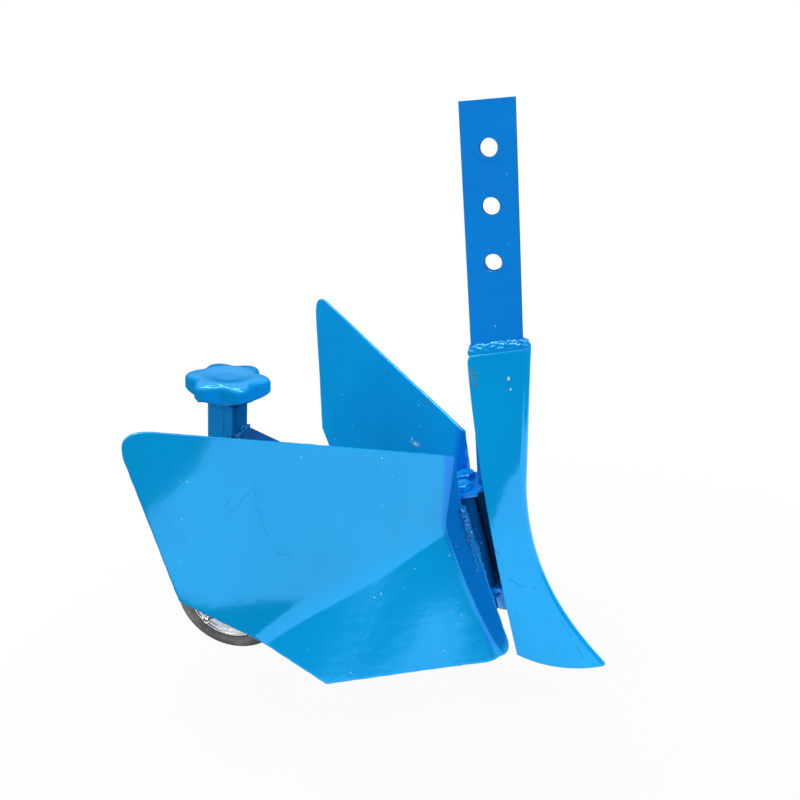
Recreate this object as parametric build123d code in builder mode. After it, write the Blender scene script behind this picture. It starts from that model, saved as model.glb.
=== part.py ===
from build123d import *
import os
from math import acos, atan2, cos, degrees, hypot, pi, radians, sin, tan

# Furrowing plough attachment for a small tiller: a flat-bar shank, a curved V share, two hinged
# wings and a depth wheel that a star knob screws up and down.
# Millimetres. +X is forward, +Y is left, +Z is up. The origin is the centre of the middle shank hole.

# Shank: a flat bar with three pin holes in a row
shank_width = 45.0
shank_thickness = 10.0
shank_hole = 15.0
hole_pitch = 46.5
shank_top_margin = 37.0
shank_toe_x = 11.0
shank_toe_height = 72.0

# Share: a plate bent to a V whose nose sweeps forward to a point
share_plate = 3.0
share_top_z = -124.0
share_top_tilt = 6.0
share_nose_x = 29.5
share_bend_x = 22.0
share_bend_z = -255.0
share_tip_x = 94.0
share_tip_drop = 25.0
share_nose_power = 2.2
share_nose_radius = 8.0
share_tip_radius = 5.0
share_rear_x = -25.8
share_rear_sweep = 36.5
share_rear_depth = 296.0
share_rear_power = 1.5
share_heel_half_width = 29.8
share_heel_sag = 8.0
share_sections = 9
share_margin = 14.0

# Weld bead round the shank on the share's top edge
shank_bead_height = 5.0
shank_bead_taper = 30.0

# Hinges: two pivot axes, one behind each flank of the share, leaning with their feet forward
hinge_x = -26.5
hinge_z = -305.5
hinge_lean = 10.65
hinge_span = 101.0
hinge_plate = 4.0
pivot_half_spacing = 12.0
ear_radius = 12.5
ear_reach = 15.0
hinge_plate_reach = 60.0
hinge_tail = 45.0
hinge_tail_width = 20.0
hinge_web = 10.0
hinge_web_depth = 32.0
hinge_rib = 6.0
hinge_rib_back = 9.0
hinge_rib_front = 36.0

# M10 pivot hardware
bolt_diameter = 10.0
bolt_flats = 17.0
bolt_head = 6.4
nut_height = 8.4
washer_diameter = 20.0
washer_thickness = 2.0
bolt_stick_out = 7.0
pivot_stick_out = 14.0
bolt_hole_clearance = 0.2
running_clearance = 0.1
side_play = 0.5

# Wings: a plate pressed to three flat facets that meet at one fold corner
wing_plate_thickness = 3.0
sleeve_diameter = 19.0
sleeve_gap = 5.5
wing_edge_top_x = 4.5
wing_edge_neck_x = -1.2
wing_edge_foot_x = 4.0
wing_front_up = 94.2
wing_front_down = 122.6
fold_setback = 22.1
fold_up = 26.0
rear_facet_spread = 40.7
rear_facet_pitch = -9.1
low_facet_spread = 35.2
low_facet_pitch = 10.6
view_spread = 38.0
wing_top_back = 268.0
wing_top_up = 172.5
wing_tail_back = 243.0
wing_tail_up = 12.0
wing_low_back = 134.0
wing_low_down = 109.0
wing_top_round = 17.0
wing_front_round = 12.0
wing_fold_round = 24.0
wing_blank_depth = 160.0
fold_tolerance = 0.01
sleeve_bead = 3.5
sleeve_bead_length = 86.0

# Slotted straps that set the spread of the wings, clamped under the beam
strap_radius = 120.0
strap_width = 26.0
strap_plate = 4.0
strap_level = -10.0
strap_far_angle = 62.0
wing_close = 9.0
wing_open = 6.0
slot_play = 0.4
boss_diameter = 26.0
clamp_thread_depth = 24.0

# Rear beam: a square tube welded over a tongue on the back of the hinge web
beam_wall = 2.5
beam_slope = 26.5
beam_drop = 36.5
tongue_lap = 50.0
tongue_show = 16.4
gusset_plate = 3.0
gusset_top = 22.0
gusset_lap = 6.0
gusset_nose = 0.5
gusset_run = 62.0
gusset_drop = 66.0

# Post: a square tube, leaning with its foot backward, with a sliding tube inside
post_x = -263.8
post_z = -174.5
post_lean = 9.3
post_side = 30.0
post_wall = 2.0
post_corner = 3.0
post_length = 107.0
cap_plate = 4.0
slide_gap = 0.5
slide_wall = 2.0
slide_top = 45.0

# Knob and lead screw
knob_radius = 41.0
knob_lobes = 6
knob_rest_turn = -18.0
knob_valley_depth = 10.5
knob_valley_radius = 14.0
knob_lobe_round = 6.5
knob_thickness = 11.5
knob_edge_round = 4.0
knob_dish_radius = 23.0
knob_dish_depth = 4.0
knob_dish_taper = 35.0
knob_boss_top = 27.0
knob_boss_foot = 17.0
knob_boss_height = 15.0
screw_diameter = 12.0
screw_length = 118.0
screw_in_knob = 17.0
screw_nut_length = 16.0
collar_diameter = 19.0
collar_length = 9.0
collar_pin = 3.0
turning_gap = 0.4

# Fork and wheel
wheel_drop = 214.0
wheel_lead = 8.5
wheel_radius = 62.5
wheel_width = 30.0
tyre_shoulder = 12.0
tyre_lip = 2.5
tyre_lip_gap = 0.4
rim_radius = 44.0
rim_width = 22.0
rim_sheet = 1.6
rim_bead_height = 1.5
rim_bead_width = 2.0
rim_bead_slope = 1.0
rim_bead_radius = 44.5
hub_diameter = 20.0
hub_wall = 3.0
bush_length = 12.0
rim_bolt = 5.0
rim_bolt_ring = 36.5
rim_bolt_count = 4
rim_bolt_angle = 42.0
rim_bolt_flats = 8.0
rim_bolt_head = 3.5
rim_nut = 4.0
rim_bolt_stick_out = 5.0
fork_leg = 4.0
fork_width = 25.0
fork_gap = 10.0
crown_plate = 6.0
crown_clearance = 7.5

os.makedirs("parts", exist_ok=True)


def save(piece, name):
    """Label a finished piece and write it as its own file."""
    piece.label = name
    export_step(piece, "parts/" + name + ".step")


def leaning(x, z, lean):
    """A plane in the mid-plane of the object whose normal leans back from +Z by the given angle."""
    turn = radians(lean)
    return Plane(origin=(x, 0, z), x_dir=(cos(turn), 0, sin(turn)), z_dir=(-sin(turn), 0, cos(turn)))


# Places that several pieces share
hinge = leaning(hinge_x, hinge_z, hinge_lean)
post = leaning(post_x, post_z, -post_lean)
post_up = post.z_dir
wheel_centre = post.from_local_coords(Vector(wheel_lead, 0, -wheel_drop))
wheel_axis = Axis(wheel_centre, (0, 1, 0))
wheel_section = Plane(origin=wheel_centre, x_dir=(1, 0, 0), z_dir=(0, 0, 1))
beam_start = post.from_local_coords(Vector(0, 0, -beam_drop))
beam_turn = radians(beam_slope)
beam_run = Vector(cos(beam_turn), 0, -sin(beam_turn))
beam_end = Plane(origin=beam_start, x_dir=(0, 1, 0), z_dir=beam_run)
share_cap = leaning(0, share_top_z, share_top_tilt)
beam_side = post_side
web_back = Plane(origin=hinge.from_local_coords(Vector(-hinge_tail, 0, 0)), z_dir=hinge.x_dir)
beam_span = (web_back.origin - beam_start).dot(web_back.z_dir) / beam_run.dot(web_back.z_dir)
beam_length = beam_span - tongue_show
share_tip_z = share_top_z - share_rear_depth - share_tip_drop
slide_length = wheel_drop - slide_top - crown_plate - wheel_radius - crown_clearance
sleeve_radius = sleeve_diameter / 2
wing_face_y = pivot_half_spacing + sleeve_radius + sleeve_gap + wing_plate_thickness
upper_level = hinge_span / 2 - hinge_plate / 2
lower_level = -hinge_span / 2 - hinge_plate / 2
bolt_hole = bolt_diameter + 2 * bolt_hole_clearance


# Shank
shank_top = hole_pitch + shank_top_margin
upper_plate_top = hinge.from_local_coords(Vector(0, 0, upper_level + hinge_plate))
hinge_rise = tan(radians(hinge_lean))


def upper_plate_z(x):
    """Height of the upper hinge plate's top face at a distance forward."""
    return upper_plate_top.Z + (x - upper_plate_top.X) * hinge_rise


toe_start_z = share_top_z + shank_bead_height
toe_end_z = toe_start_z - shank_toe_height
with BuildPart() as shank:
    with BuildSketch(Plane.XZ):
        with BuildLine():
            Polyline(
                (-shank_width / 2, shank_top),
                (shank_width / 2, shank_top),
                (shank_width / 2, toe_start_z),
                (shank_toe_x, toe_end_z),
                (shank_toe_x, upper_plate_z(shank_toe_x)),
                (-shank_width / 2, upper_plate_z(-shank_width / 2)),
                close=True,
            )
        make_face()
        with Locations((0, hole_pitch), (0, 0), (0, -hole_pitch)):
            Circle(shank_hole / 2, mode=Mode.SUBTRACT)
    extrude(amount=shank_thickness / 2, both=True)
save(shank.part, "shank")


# Share
def nose_x(z):
    """Front of the nose: a straight upper run, then a power curve forward to the tip."""
    if z >= share_bend_z:
        rise = (z - share_bend_z) / (share_top_z - share_bend_z)
        return share_bend_x + (share_nose_x - share_bend_x) * rise
    run = (share_bend_z - z) / (share_bend_z - share_tip_z)
    return share_bend_x + (share_tip_x - share_bend_x) * run**share_nose_power


def depth_share(z):
    """How far a height lies down the share's rear edge, from 0 at the top to 1 at the heel."""
    return max(0.0, share_top_z - z) / share_rear_depth


def rear_x(z):
    """Rear edge of the flanks."""
    return share_rear_x + share_rear_sweep * depth_share(z) ** share_rear_power


def nose_radius(z):
    """Outer radius of the bend along the nose, smaller from the bend down to the tip."""
    fall = max(0.0, share_bend_z - z) / (share_bend_z - share_tip_z)
    return share_nose_radius + (share_tip_radius - share_nose_radius) * fall


def flank_half_width(z):
    """Outer half width of the V at its rear edge."""
    return share_nose_radius + (share_heel_half_width - share_nose_radius) * depth_share(z)


def v_section(place, z, inset, behind):
    """The closed V section of one height: flanks tangent to the nose arc, all moved in by inset."""
    radius = nose_radius(z)
    centre = nose_x(z) - radius
    back = centre - rear_x(z)
    half = flank_half_width(z)
    turn = pi - atan2(half, back) - acos(radius / hypot(back, half))
    start_x = rear_x(z) - behind
    start_y = half - inset / sin(turn) - behind * tan(turn - pi / 2)
    inner = radius - inset
    upper = (centre + inner * cos(turn), inner * sin(turn))
    lower = (upper[0], -upper[1])
    with BuildSketch(place) as section:
        with BuildLine():
            Line((start_x, -start_y), lower)
            ThreePointArc(lower, (centre + inner, 0), upper)
            Line(upper, (start_x, start_y))
            Line((start_x, start_y), (start_x, -start_y))
        make_face()
    return section.sketch


share_high = share_top_z + share_margin
share_low = share_tip_z - share_margin
section_step = (share_high - share_low) / (share_sections - 1)
section_heights = [share_low + i * section_step for i in range(share_sections)]

with BuildPart() as share_core:
    loft([v_section(Plane.XY.offset(z), z, share_plate, share_margin) for z in section_heights])

heel_z = share_top_z - share_rear_depth
heel_x = rear_x(heel_z)
sole_mid = ((heel_x + share_tip_x) / 2, (heel_z + share_tip_z) / 2 - share_heel_sag)
sole_under = share_low - share_margin
with BuildPart() as share:
    loft([v_section(Plane.XY.offset(z), z, 0, 0) for z in section_heights])
    add(share_core.part, mode=Mode.SUBTRACT)
    split(bisect_by=share_cap, keep=Keep.BOTTOM)
    with BuildSketch(Plane.XZ):
        with BuildLine():
            Line((heel_x - share_margin, heel_z), (heel_x, heel_z))
            ThreePointArc((heel_x, heel_z), sole_mid, (share_tip_x, share_tip_z))
            Polyline(
                (share_tip_x, share_tip_z),
                (share_tip_x + 2 * share_margin, share_tip_z),
                (share_tip_x + 2 * share_margin, sole_under),
                (heel_x - share_margin, sole_under),
                (heel_x - share_margin, heel_z),
            )
        make_face()
    extrude(amount=share_heel_half_width + share_margin, both=True, mode=Mode.SUBTRACT)
save(share.part, "share")

with BuildPart() as shank_bead:
    extrude(
        v_section(share_cap, share_top_z, 0, 0),
        amount=shank_bead_height,
        taper=shank_bead_taper,
    )
    add(shank.part, mode=Mode.SUBTRACT)
save(shank_bead.part, "shank_weld")


# Hinge plates: two ears for the pivots, a tongue that fills the V between the flanks, and a tail
def hinge_plate_at(level, name):
    """One hinge plate, square to the pivot axes, with its lower face at the given level."""
    with BuildPart() as plate:
        with BuildSketch(hinge.offset(level)):
            with Locations((hinge_plate_reach / 2, 0)):
                Rectangle(hinge_plate_reach, 4 * pivot_half_spacing)
        extrude(amount=hinge_plate)
        add(share_core.part, mode=Mode.INTERSECT)
        with BuildSketch(hinge.offset(level)):
            SlotCenterToCenter(2 * pivot_half_spacing, 2 * ear_radius, rotation=90)
            with Locations((ear_reach / 2, 0)):
                Rectangle(ear_reach, 2 * pivot_half_spacing + 2 * ear_radius)
            with Locations((-hinge_tail / 2, 0)):
                Rectangle(hinge_tail, hinge_tail_width)
        extrude(amount=hinge_plate)
        with BuildSketch(hinge.offset(level)):
            with Locations((0, pivot_half_spacing), (0, -pivot_half_spacing)):
                Circle(bolt_hole / 2)
        extrude(amount=hinge_plate, mode=Mode.SUBTRACT)
    save(plate.part, name)


hinge_plate_at(upper_level, "upper_hinge_plate")
hinge_plate_at(lower_level, "lower_hinge_plate")

with BuildPart() as web:
    with BuildSketch(hinge.offset(lower_level + hinge_plate)):
        with Locations((hinge_web_depth / 2 - hinge_tail, 0)):
            Rectangle(hinge_web_depth, hinge_web)
    extrude(amount=hinge_span - hinge_plate)
save(web.part, "hinge_web")

with BuildPart() as rib:
    with BuildSketch(hinge.offset(lower_level + hinge_plate)):
        with Locations(((hinge_rib_back + hinge_rib_front) / 2, 0)):
            Rectangle(hinge_rib_front - hinge_rib_back, hinge_rib)
    extrude(amount=hinge_span - hinge_plate)
save(rib.part, "hinge_rib")


# Fasteners
def hex_bolt(place, length, diameter, flats, head, name):
    """A hex bolt whose head stands on the plane and whose shank runs down from it."""
    with BuildPart() as bolt:
        with BuildSketch(place):
            RegularPolygon(flats / 2, 6, major_radius=False)
        extrude(amount=head)
        with BuildSketch(place):
            Circle(diameter / 2)
        extrude(amount=-length)
    save(bolt.part, name)


def hex_nut(place, diameter, flats, height, name):
    """A hex nut that hangs below the plane, with a plain bore for its thread."""
    with BuildPart() as nut:
        with BuildSketch(place):
            RegularPolygon(flats / 2, 6, major_radius=False)
            Circle(diameter / 2, mode=Mode.SUBTRACT)
        extrude(amount=-height)
    save(nut.part, name)


def washer(place, name):
    """A plain washer that hangs below the plane."""
    with BuildPart() as ring:
        with BuildSketch(place):
            Circle(washer_diameter / 2)
            Circle(bolt_hole / 2, mode=Mode.SUBTRACT)
        extrude(amount=-washer_thickness)
    save(ring.part, name)


def pivot_at(level, side):
    """The hinge plane at a level, centred on the right (-1) or left (+1) pivot."""
    return Plane(
        origin=hinge.from_local_coords(Vector(0, side * pivot_half_spacing, level)),
        x_dir=hinge.x_dir,
        z_dir=hinge.z_dir,
    )


pivot_grip = hinge_span + hinge_plate
pivot_bolt_length = pivot_grip + washer_thickness + nut_height + pivot_stick_out
thread_bore = bolt_diameter + 2 * running_clearance
for side, hand in ((-1, "right"), (1, "left")):
    hex_bolt(
        pivot_at(upper_level + hinge_plate, side),
        pivot_bolt_length,
        bolt_diameter,
        bolt_flats,
        bolt_head,
        "pivot_bolt_" + hand,
    )
    washer(pivot_at(lower_level, side), "pivot_washer_" + hand)
    hex_nut(
        pivot_at(lower_level - washer_thickness, side),
        thread_bore,
        bolt_flats,
        nut_height,
        "pivot_nut_" + hand,
    )


# Wings
def facet_normal(spread, pitch):
    """Outward normal of a right-hand facet, from its spread behind the pivot and its upward pitch."""
    level = cos(radians(pitch))
    return Vector(sin(radians(spread)) * level, -cos(radians(spread)) * level, sin(radians(pitch)))


fold_corner = hinge.from_local_coords(Vector(-fold_setback, -wing_face_y, fold_up))
wing_front_top = hinge.from_local_coords(Vector(wing_edge_top_x, -wing_face_y, wing_front_up))
wing_front_neck = hinge.from_local_coords(Vector(wing_edge_neck_x, -wing_face_y, upper_level))
wing_front_foot = hinge.from_local_coords(Vector(wing_edge_foot_x, -wing_face_y, -wing_front_down))
view_turn = radians(view_spread)
wing_view = Plane(
    origin=fold_corner,
    x_dir=(-cos(view_turn), -sin(view_turn), 0),
    z_dir=(-sin(view_turn), cos(view_turn), 0),
)
low_normal = facet_normal(low_facet_spread, low_facet_pitch)
facets = [facet_normal(rear_facet_spread, rear_facet_pitch), low_normal, facet_normal(0, 0)]


def bowl(inset, fold_round):
    """The wing's outline carried through the plate, on the soil side of its facets moved in by inset."""
    top = wing_view.to_local_coords(wing_front_top)
    neck = wing_view.to_local_coords(wing_front_neck)
    foot = wing_view.to_local_coords(wing_front_foot)
    planes = [Plane(origin=fold_corner - normal * inset, z_dir=normal) for normal in facets]
    with BuildPart() as block:
        with BuildSketch(wing_view) as outline:
            with BuildLine():
                Polyline(
                    (top.X, top.Y),
                    (wing_top_back, wing_top_up),
                    (wing_tail_back, wing_tail_up),
                    (wing_low_back, -wing_low_down),
                    (foot.X, foot.Y),
                    (neck.X, neck.Y),
                    close=True,
                )
            make_face()
            by_run = outline.vertices().sort_by(Axis((0, 0, 0), wing_view.x_dir))
            fillet(by_run[0], wing_front_round)
            by_run = outline.vertices().sort_by(Axis((0, 0, 0), wing_view.x_dir))
            fillet(by_run[-1], wing_top_round)
        extrude(amount=wing_blank_depth, both=True)
        for plane in planes:
            split(bisect_by=plane, keep=Keep.TOP)

        def on_a_fold(edge):
            middle = edge @ 0.5
            return sum(abs((middle - plane.origin).dot(plane.z_dir)) < fold_tolerance for plane in planes) > 1

        fillet(block.edges().filter_by(on_a_fold), fold_round)
    return block.part


right_soil_side = bowl(0, wing_fold_round)
with BuildPart() as wing_plate_right:
    add(bowl(wing_plate_thickness, wing_fold_round + wing_plate_thickness))
    add(right_soil_side, mode=Mode.SUBTRACT)

sleeve_length = hinge_span - hinge_plate - 2 * side_play
wing_edge_x = (wing_edge_neck_x + wing_edge_foot_x) / 2
bead_run = sleeve_gap + wing_plate_thickness / 2
with BuildPart() as sleeve_right:
    with BuildSketch(pivot_at(-sleeve_length / 2, -1)):
        Circle(sleeve_radius)
        Circle(thread_bore / 2, mode=Mode.SUBTRACT)
    extrude(amount=sleeve_length)

with BuildPart() as sleeve_bead_right:
    with BuildSketch(pivot_at(-sleeve_bead_length / 2, -1)):
        with Locations((wing_edge_x - sleeve_bead / 2, -sleeve_radius - bead_run / 2)):
            SlotCenterToCenter(bead_run, 2 * sleeve_bead, rotation=90)
        Circle(sleeve_radius, mode=Mode.SUBTRACT)
    extrude(amount=sleeve_bead_length)
    add(wing_plate_right.part, mode=Mode.SUBTRACT)

for piece, name in (
    (wing_plate_right, "wing_plate"),
    (sleeve_right, "hinge_sleeve"),
    (sleeve_bead_right, "sleeve_weld"),
):
    save(piece.part, name + "_right")
    with BuildPart() as other_hand:
        add(mirror(piece.part, about=Plane.XZ, mode=Mode.PRIVATE))
    save(other_hand.part, name + "_left")


# Adjuster straps: arcs about each pivot, slotted for the clamp bolt on the mid-plane
clamp_x = -(strap_radius**2 - pivot_half_spacing**2) ** 0.5
clamp_angle = degrees(atan2(pivot_half_spacing, -clamp_x))
slot_width = bolt_diameter + 2 * slot_play
tail_margin = degrees(0.5 * strap_width / strap_radius)


def adjuster_strap(level, side):
    """One strap with its top face at a level: from the wing's inner face to a tail past the clamp."""
    seat_normal = Vector(low_normal.X, -side * low_normal.Y, low_normal.Z)
    seat_corner = Vector(fold_corner.X, -side * fold_corner.Y, fold_corner.Z)
    seat = Plane(origin=seat_corner - seat_normal * wing_plate_thickness, z_dir=seat_normal)
    pivot = (0, side * pivot_half_spacing)
    inboard = 180 + side * clamp_angle
    with BuildPart() as strap:
        with BuildSketch(hinge.offset(level - strap_plate)):
            with BuildLine(mode=Mode.PRIVATE) as band:
                tail = inboard + side * (wing_open + tail_margin)
                CenterArc(pivot, strap_radius, tail, -side * strap_far_angle)
            SlotArc(band.edge(), strap_width)
            with BuildLine(mode=Mode.PRIVATE) as slot:
                slot_start = inboard + side * wing_open
                CenterArc(pivot, strap_radius, slot_start, -side * (wing_open + wing_close))
            SlotArc(slot.edge(), slot_width, mode=Mode.SUBTRACT)
        extrude(amount=strap_plate)
        split(bisect_by=seat, keep=Keep.BOTTOM)
    return strap.part


left_strap_level = strap_level - strap_plate - side_play
save(adjuster_strap(strap_level, -1), "adjuster_strap_right")
save(adjuster_strap(left_strap_level, 1), "adjuster_strap_left")


# Post tube and its cap
post_bore = post_side - 2 * post_wall
with BuildPart() as post_tube:
    with BuildSketch(post):
        RectangleRounded(post_side, post_side, post_corner)
        Rectangle(post_bore, post_bore, mode=Mode.SUBTRACT)
    extrude(amount=-post_length)
save(post_tube.part, "post_tube")

screw_bore = screw_diameter + 2 * running_clearance
with BuildPart() as post_cap:
    with BuildSketch(post):
        RectangleRounded(post_side, post_side, post_corner)
        Circle(screw_bore / 2, mode=Mode.SUBTRACT)
    extrude(amount=cap_plate)
save(post_cap.part, "post_cap")


# Beam, tongue and the gusset on its right
with BuildPart() as beam:
    with BuildSketch(beam_end):
        RectangleRounded(beam_side, beam_side, beam_wall)
        Rectangle(beam_side - 2 * beam_wall, beam_side - 2 * beam_wall, mode=Mode.SUBTRACT)
    extrude(amount=beam_length)
    with BuildSketch(post):
        with Locations((-post_side, 0)):
            Rectangle(3 * post_side, 2 * post_side)
    extrude(amount=-2 * post_length, both=True, mode=Mode.SUBTRACT)
save(beam.part, "beam")

tongue_height = beam_side - 2 * beam_wall
with BuildPart() as tongue:
    with BuildSketch(beam_end.offset(beam_length - tongue_lap)):
        Rectangle(hinge_web, tongue_height)
    extrude(amount=tongue_lap + tongue_show + beam_side)
    split(bisect_by=web_back, keep=Keep.BOTTOM)
save(tongue.part, "beam_tongue")

gusset_back = post_side / 2 - gusset_lap
gusset_high = post.from_local_coords(Vector(gusset_back, 0, -gusset_top))
gusset_low = post.from_local_coords(Vector(gusset_back, 0, -gusset_drop))
gusset_corner = post.from_local_coords(Vector(post_side / 2 + gusset_nose, 0, -gusset_top))
beam_under = beam_end.from_local_coords(Vector(0, -beam_side / 4, gusset_run))
with BuildPart() as gusset:
    with BuildSketch(Plane.XZ.offset(post_side / 2)):
        with BuildLine():
            Polyline(
                (gusset_high.X, gusset_high.Z),
                (gusset_corner.X, gusset_corner.Z),
                (beam_under.X, beam_under.Z),
                (gusset_low.X, gusset_low.Z),
                close=True,
            )
        make_face()
    extrude(amount=gusset_plate)
save(gusset.part, "post_gusset")


# Clamp boss under the beam, with its bolt and washer
boss_foot = hinge.offset(strap_level + side_play)
clamp_seat = hinge.offset(left_strap_level - strap_plate - side_play)


def at_clamp(plane):
    """The same plane, centred on the clamp bolt."""
    centre = plane.from_local_coords(Vector(clamp_x, 0, 0))
    return Plane(origin=centre, x_dir=plane.x_dir, z_dir=plane.z_dir)


beam_under_face = Plane(
    origin=beam_end.from_local_coords(Vector(0, -beam_side / 2, 0)),
    z_dir=beam_end.y_dir,
)
boss_reach = beam_side + strap_radius
with BuildPart() as clamp_boss:
    with BuildSketch(at_clamp(boss_foot)):
        Circle(boss_diameter / 2)
    extrude(amount=boss_reach)
    split(bisect_by=beam_under_face, keep=Keep.BOTTOM)
    with BuildSketch(at_clamp(boss_foot)):
        Circle(thread_bore / 2)
    extrude(amount=clamp_thread_depth, mode=Mode.SUBTRACT)
save(clamp_boss.part, "clamp_boss")
washer(at_clamp(clamp_seat), "clamp_washer")
clamp_grip = washer_thickness + 2 * strap_plate + 3 * side_play
head_face = at_clamp(clamp_seat.offset(-washer_thickness))
hex_bolt(
    Plane(origin=head_face.origin, x_dir=head_face.x_dir, z_dir=-head_face.z_dir),
    clamp_grip + clamp_thread_depth,
    bolt_diameter,
    bolt_flats,
    bolt_head,
    "clamp_bolt",
)


# Knob, lead screw and collar
boss_level = cap_plate + turning_gap
disc_level = boss_level + knob_boss_height
valley_ring = knob_radius - knob_valley_depth + knob_valley_radius
with BuildPart() as knob:
    with BuildSketch(post.offset(disc_level)) as star:
        Circle(knob_radius)
        with PolarLocations(valley_ring, knob_lobes, start_angle=knob_rest_turn):
            Circle(knob_valley_radius, mode=Mode.SUBTRACT)
        fillet(star.vertices(), knob_lobe_round)
    extrude(amount=knob_thickness)
    rims = knob.faces().filter_by(Plane(origin=(0, 0, 0), z_dir=post_up)).edges()
    fillet(rims, knob_edge_round)
    with BuildSketch(post.offset(boss_level)):
        Circle(knob_boss_foot)
    with BuildSketch(post.offset(disc_level)):
        Circle(knob_boss_top)
    loft()
    with BuildSketch(post.offset(disc_level + knob_thickness)):
        Circle(knob_dish_radius)
    extrude(amount=-knob_dish_depth, taper=knob_dish_taper, mode=Mode.SUBTRACT)
    with BuildSketch(post.offset(boss_level)):
        Circle(screw_diameter / 2)
    extrude(amount=screw_in_knob, mode=Mode.SUBTRACT)
save(knob.part, "knob")

screw_top = boss_level + screw_in_knob
pin_level = -turning_gap - collar_length / 2
pin_plane = Plane(
    origin=post.from_local_coords(Vector(0, 0, pin_level)),
    x_dir=post.z_dir,
    z_dir=(0, 1, 0),
)
with BuildPart() as screw:
    with BuildSketch(post.offset(screw_top)):
        Circle(screw_diameter / 2)
    extrude(amount=-screw_length)
    with BuildSketch(pin_plane):
        Circle(collar_pin / 2)
    extrude(amount=collar_diameter, both=True, mode=Mode.SUBTRACT)
save(screw.part, "lead_screw")

with BuildPart() as collar:
    with BuildSketch(post.offset(-turning_gap)):
        Circle(collar_diameter / 2)
        Circle(screw_diameter / 2, mode=Mode.SUBTRACT)
    extrude(amount=-collar_length)
    with BuildSketch(pin_plane):
        Circle(collar_pin / 2)
    extrude(amount=collar_diameter, both=True, mode=Mode.SUBTRACT)
save(collar.part, "screw_collar")

with BuildPart() as pin:
    with BuildSketch(pin_plane):
        Circle(collar_pin / 2)
    extrude(amount=collar_diameter / 2 - collar_pin / 2, both=True)
save(pin.part, "collar_pin")


# Sliding tube and screw nut
slide_side = post_bore - 2 * slide_gap
slide_bore = slide_side - 2 * slide_wall
with BuildPart() as slide_tube:
    with BuildSketch(post.offset(-slide_top)):
        RectangleRounded(slide_side, slide_side, slide_wall)
        Rectangle(slide_bore, slide_bore, mode=Mode.SUBTRACT)
    extrude(amount=-slide_length)
save(slide_tube.part, "slide_tube")

with BuildPart() as screw_nut:
    with BuildSketch(post.offset(-slide_top)):
        Rectangle(slide_bore, slide_bore)
        Circle(screw_bore / 2, mode=Mode.SUBTRACT)
    extrude(amount=-screw_nut_length)
save(screw_nut.part, "screw_nut")


# Fork
leg_inner = wheel_width / 2 + fork_gap
leg_outer = leg_inner + fork_leg
crown_top = -slide_top - slide_length
with BuildPart() as crown:
    with BuildSketch(post.offset(crown_top)):
        with Locations((wheel_lead / 2, 0)):
            Rectangle(fork_width + wheel_lead, 2 * leg_outer)
    extrude(amount=-crown_plate)
save(crown.part, "fork_crown")

leg_plane_x = post.z_dir
leg_length = wheel_drop + crown_top - crown_plate
for side, hand in ((-1, "right"), (1, "left")):
    leg_plane = Plane(
        origin=wheel_centre + Vector(0, side * leg_inner, 0),
        x_dir=leg_plane_x,
        z_dir=(0, side, 0),
    )
    with BuildPart() as leg:
        with BuildSketch(leg_plane):
            with Locations((leg_length / 2, 0)):
                Rectangle(leg_length, fork_width)
            Circle(fork_width / 2)
            Circle(bolt_hole / 2, mode=Mode.SUBTRACT)
        extrude(amount=fork_leg)
    save(leg.part, "fork_leg_" + hand)


# Axle
axle_near = Plane(
    origin=wheel_centre + Vector(0, -leg_outer, 0),
    x_dir=(1, 0, 0),
    z_dir=(0, -1, 0),
)
axle_far = Plane(
    origin=wheel_centre + Vector(0, leg_outer, 0),
    x_dir=(1, 0, 0),
    z_dir=(0, -1, 0),
)
axle_length = 2 * leg_outer + washer_thickness + nut_height + bolt_stick_out
hex_bolt(axle_near, axle_length, bolt_diameter, bolt_flats, bolt_head, "axle_bolt")
washer(axle_far, "axle_washer")
hex_nut(axle_far.offset(-washer_thickness), thread_bore, bolt_flats, nut_height, "axle_nut")

with BuildPart() as spacers:
    for side in (-1, 1):
        with BuildSketch(Plane(wheel_centre + Vector(0, side * leg_inner, 0), (1, 0, 0), (0, -side, 0))):
            Circle(hub_diameter / 2)
            Circle(bolt_hole / 2, mode=Mode.SUBTRACT)
        extrude(amount=fork_gap - side_play)
save(spacers.part, "axle_spacers")


# Wheel
half_width = wheel_width / 2
rim_half = rim_width / 2
lip_radius = rim_radius + tyre_lip
lip_width = rim_half + rim_sheet + tyre_lip_gap
shoulder_radius = wheel_radius - tyre_shoulder
shoulder_width = half_width - tyre_shoulder
shoulder_mid = tyre_shoulder * sin(pi / 4)
with BuildPart() as tyre:
    with BuildSketch(wheel_section):
        with BuildLine():
            Polyline(
                (rim_radius, 0),
                (rim_radius, rim_half),
                (lip_radius + tyre_lip_gap, rim_half),
                (lip_radius + tyre_lip_gap, lip_width),
                (shoulder_radius, half_width),
            )
            ThreePointArc(
                (shoulder_radius, half_width),
                (shoulder_radius + shoulder_mid, shoulder_width + shoulder_mid),
                (wheel_radius, shoulder_width),
            )
            Polyline((wheel_radius, shoulder_width), (wheel_radius, 0), (rim_radius, 0))
        make_face()
        mirror(about=Plane.XZ)
    revolve(axis=wheel_axis)
save(tyre.part, "tyre")

with BuildPart() as rim_band:
    with BuildSketch(wheel_section):
        with Locations((rim_radius - rim_sheet / 2, 0)):
            Rectangle(rim_sheet, rim_width)
    revolve(axis=wheel_axis)
save(rim_band.part, "rim_band")

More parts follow.
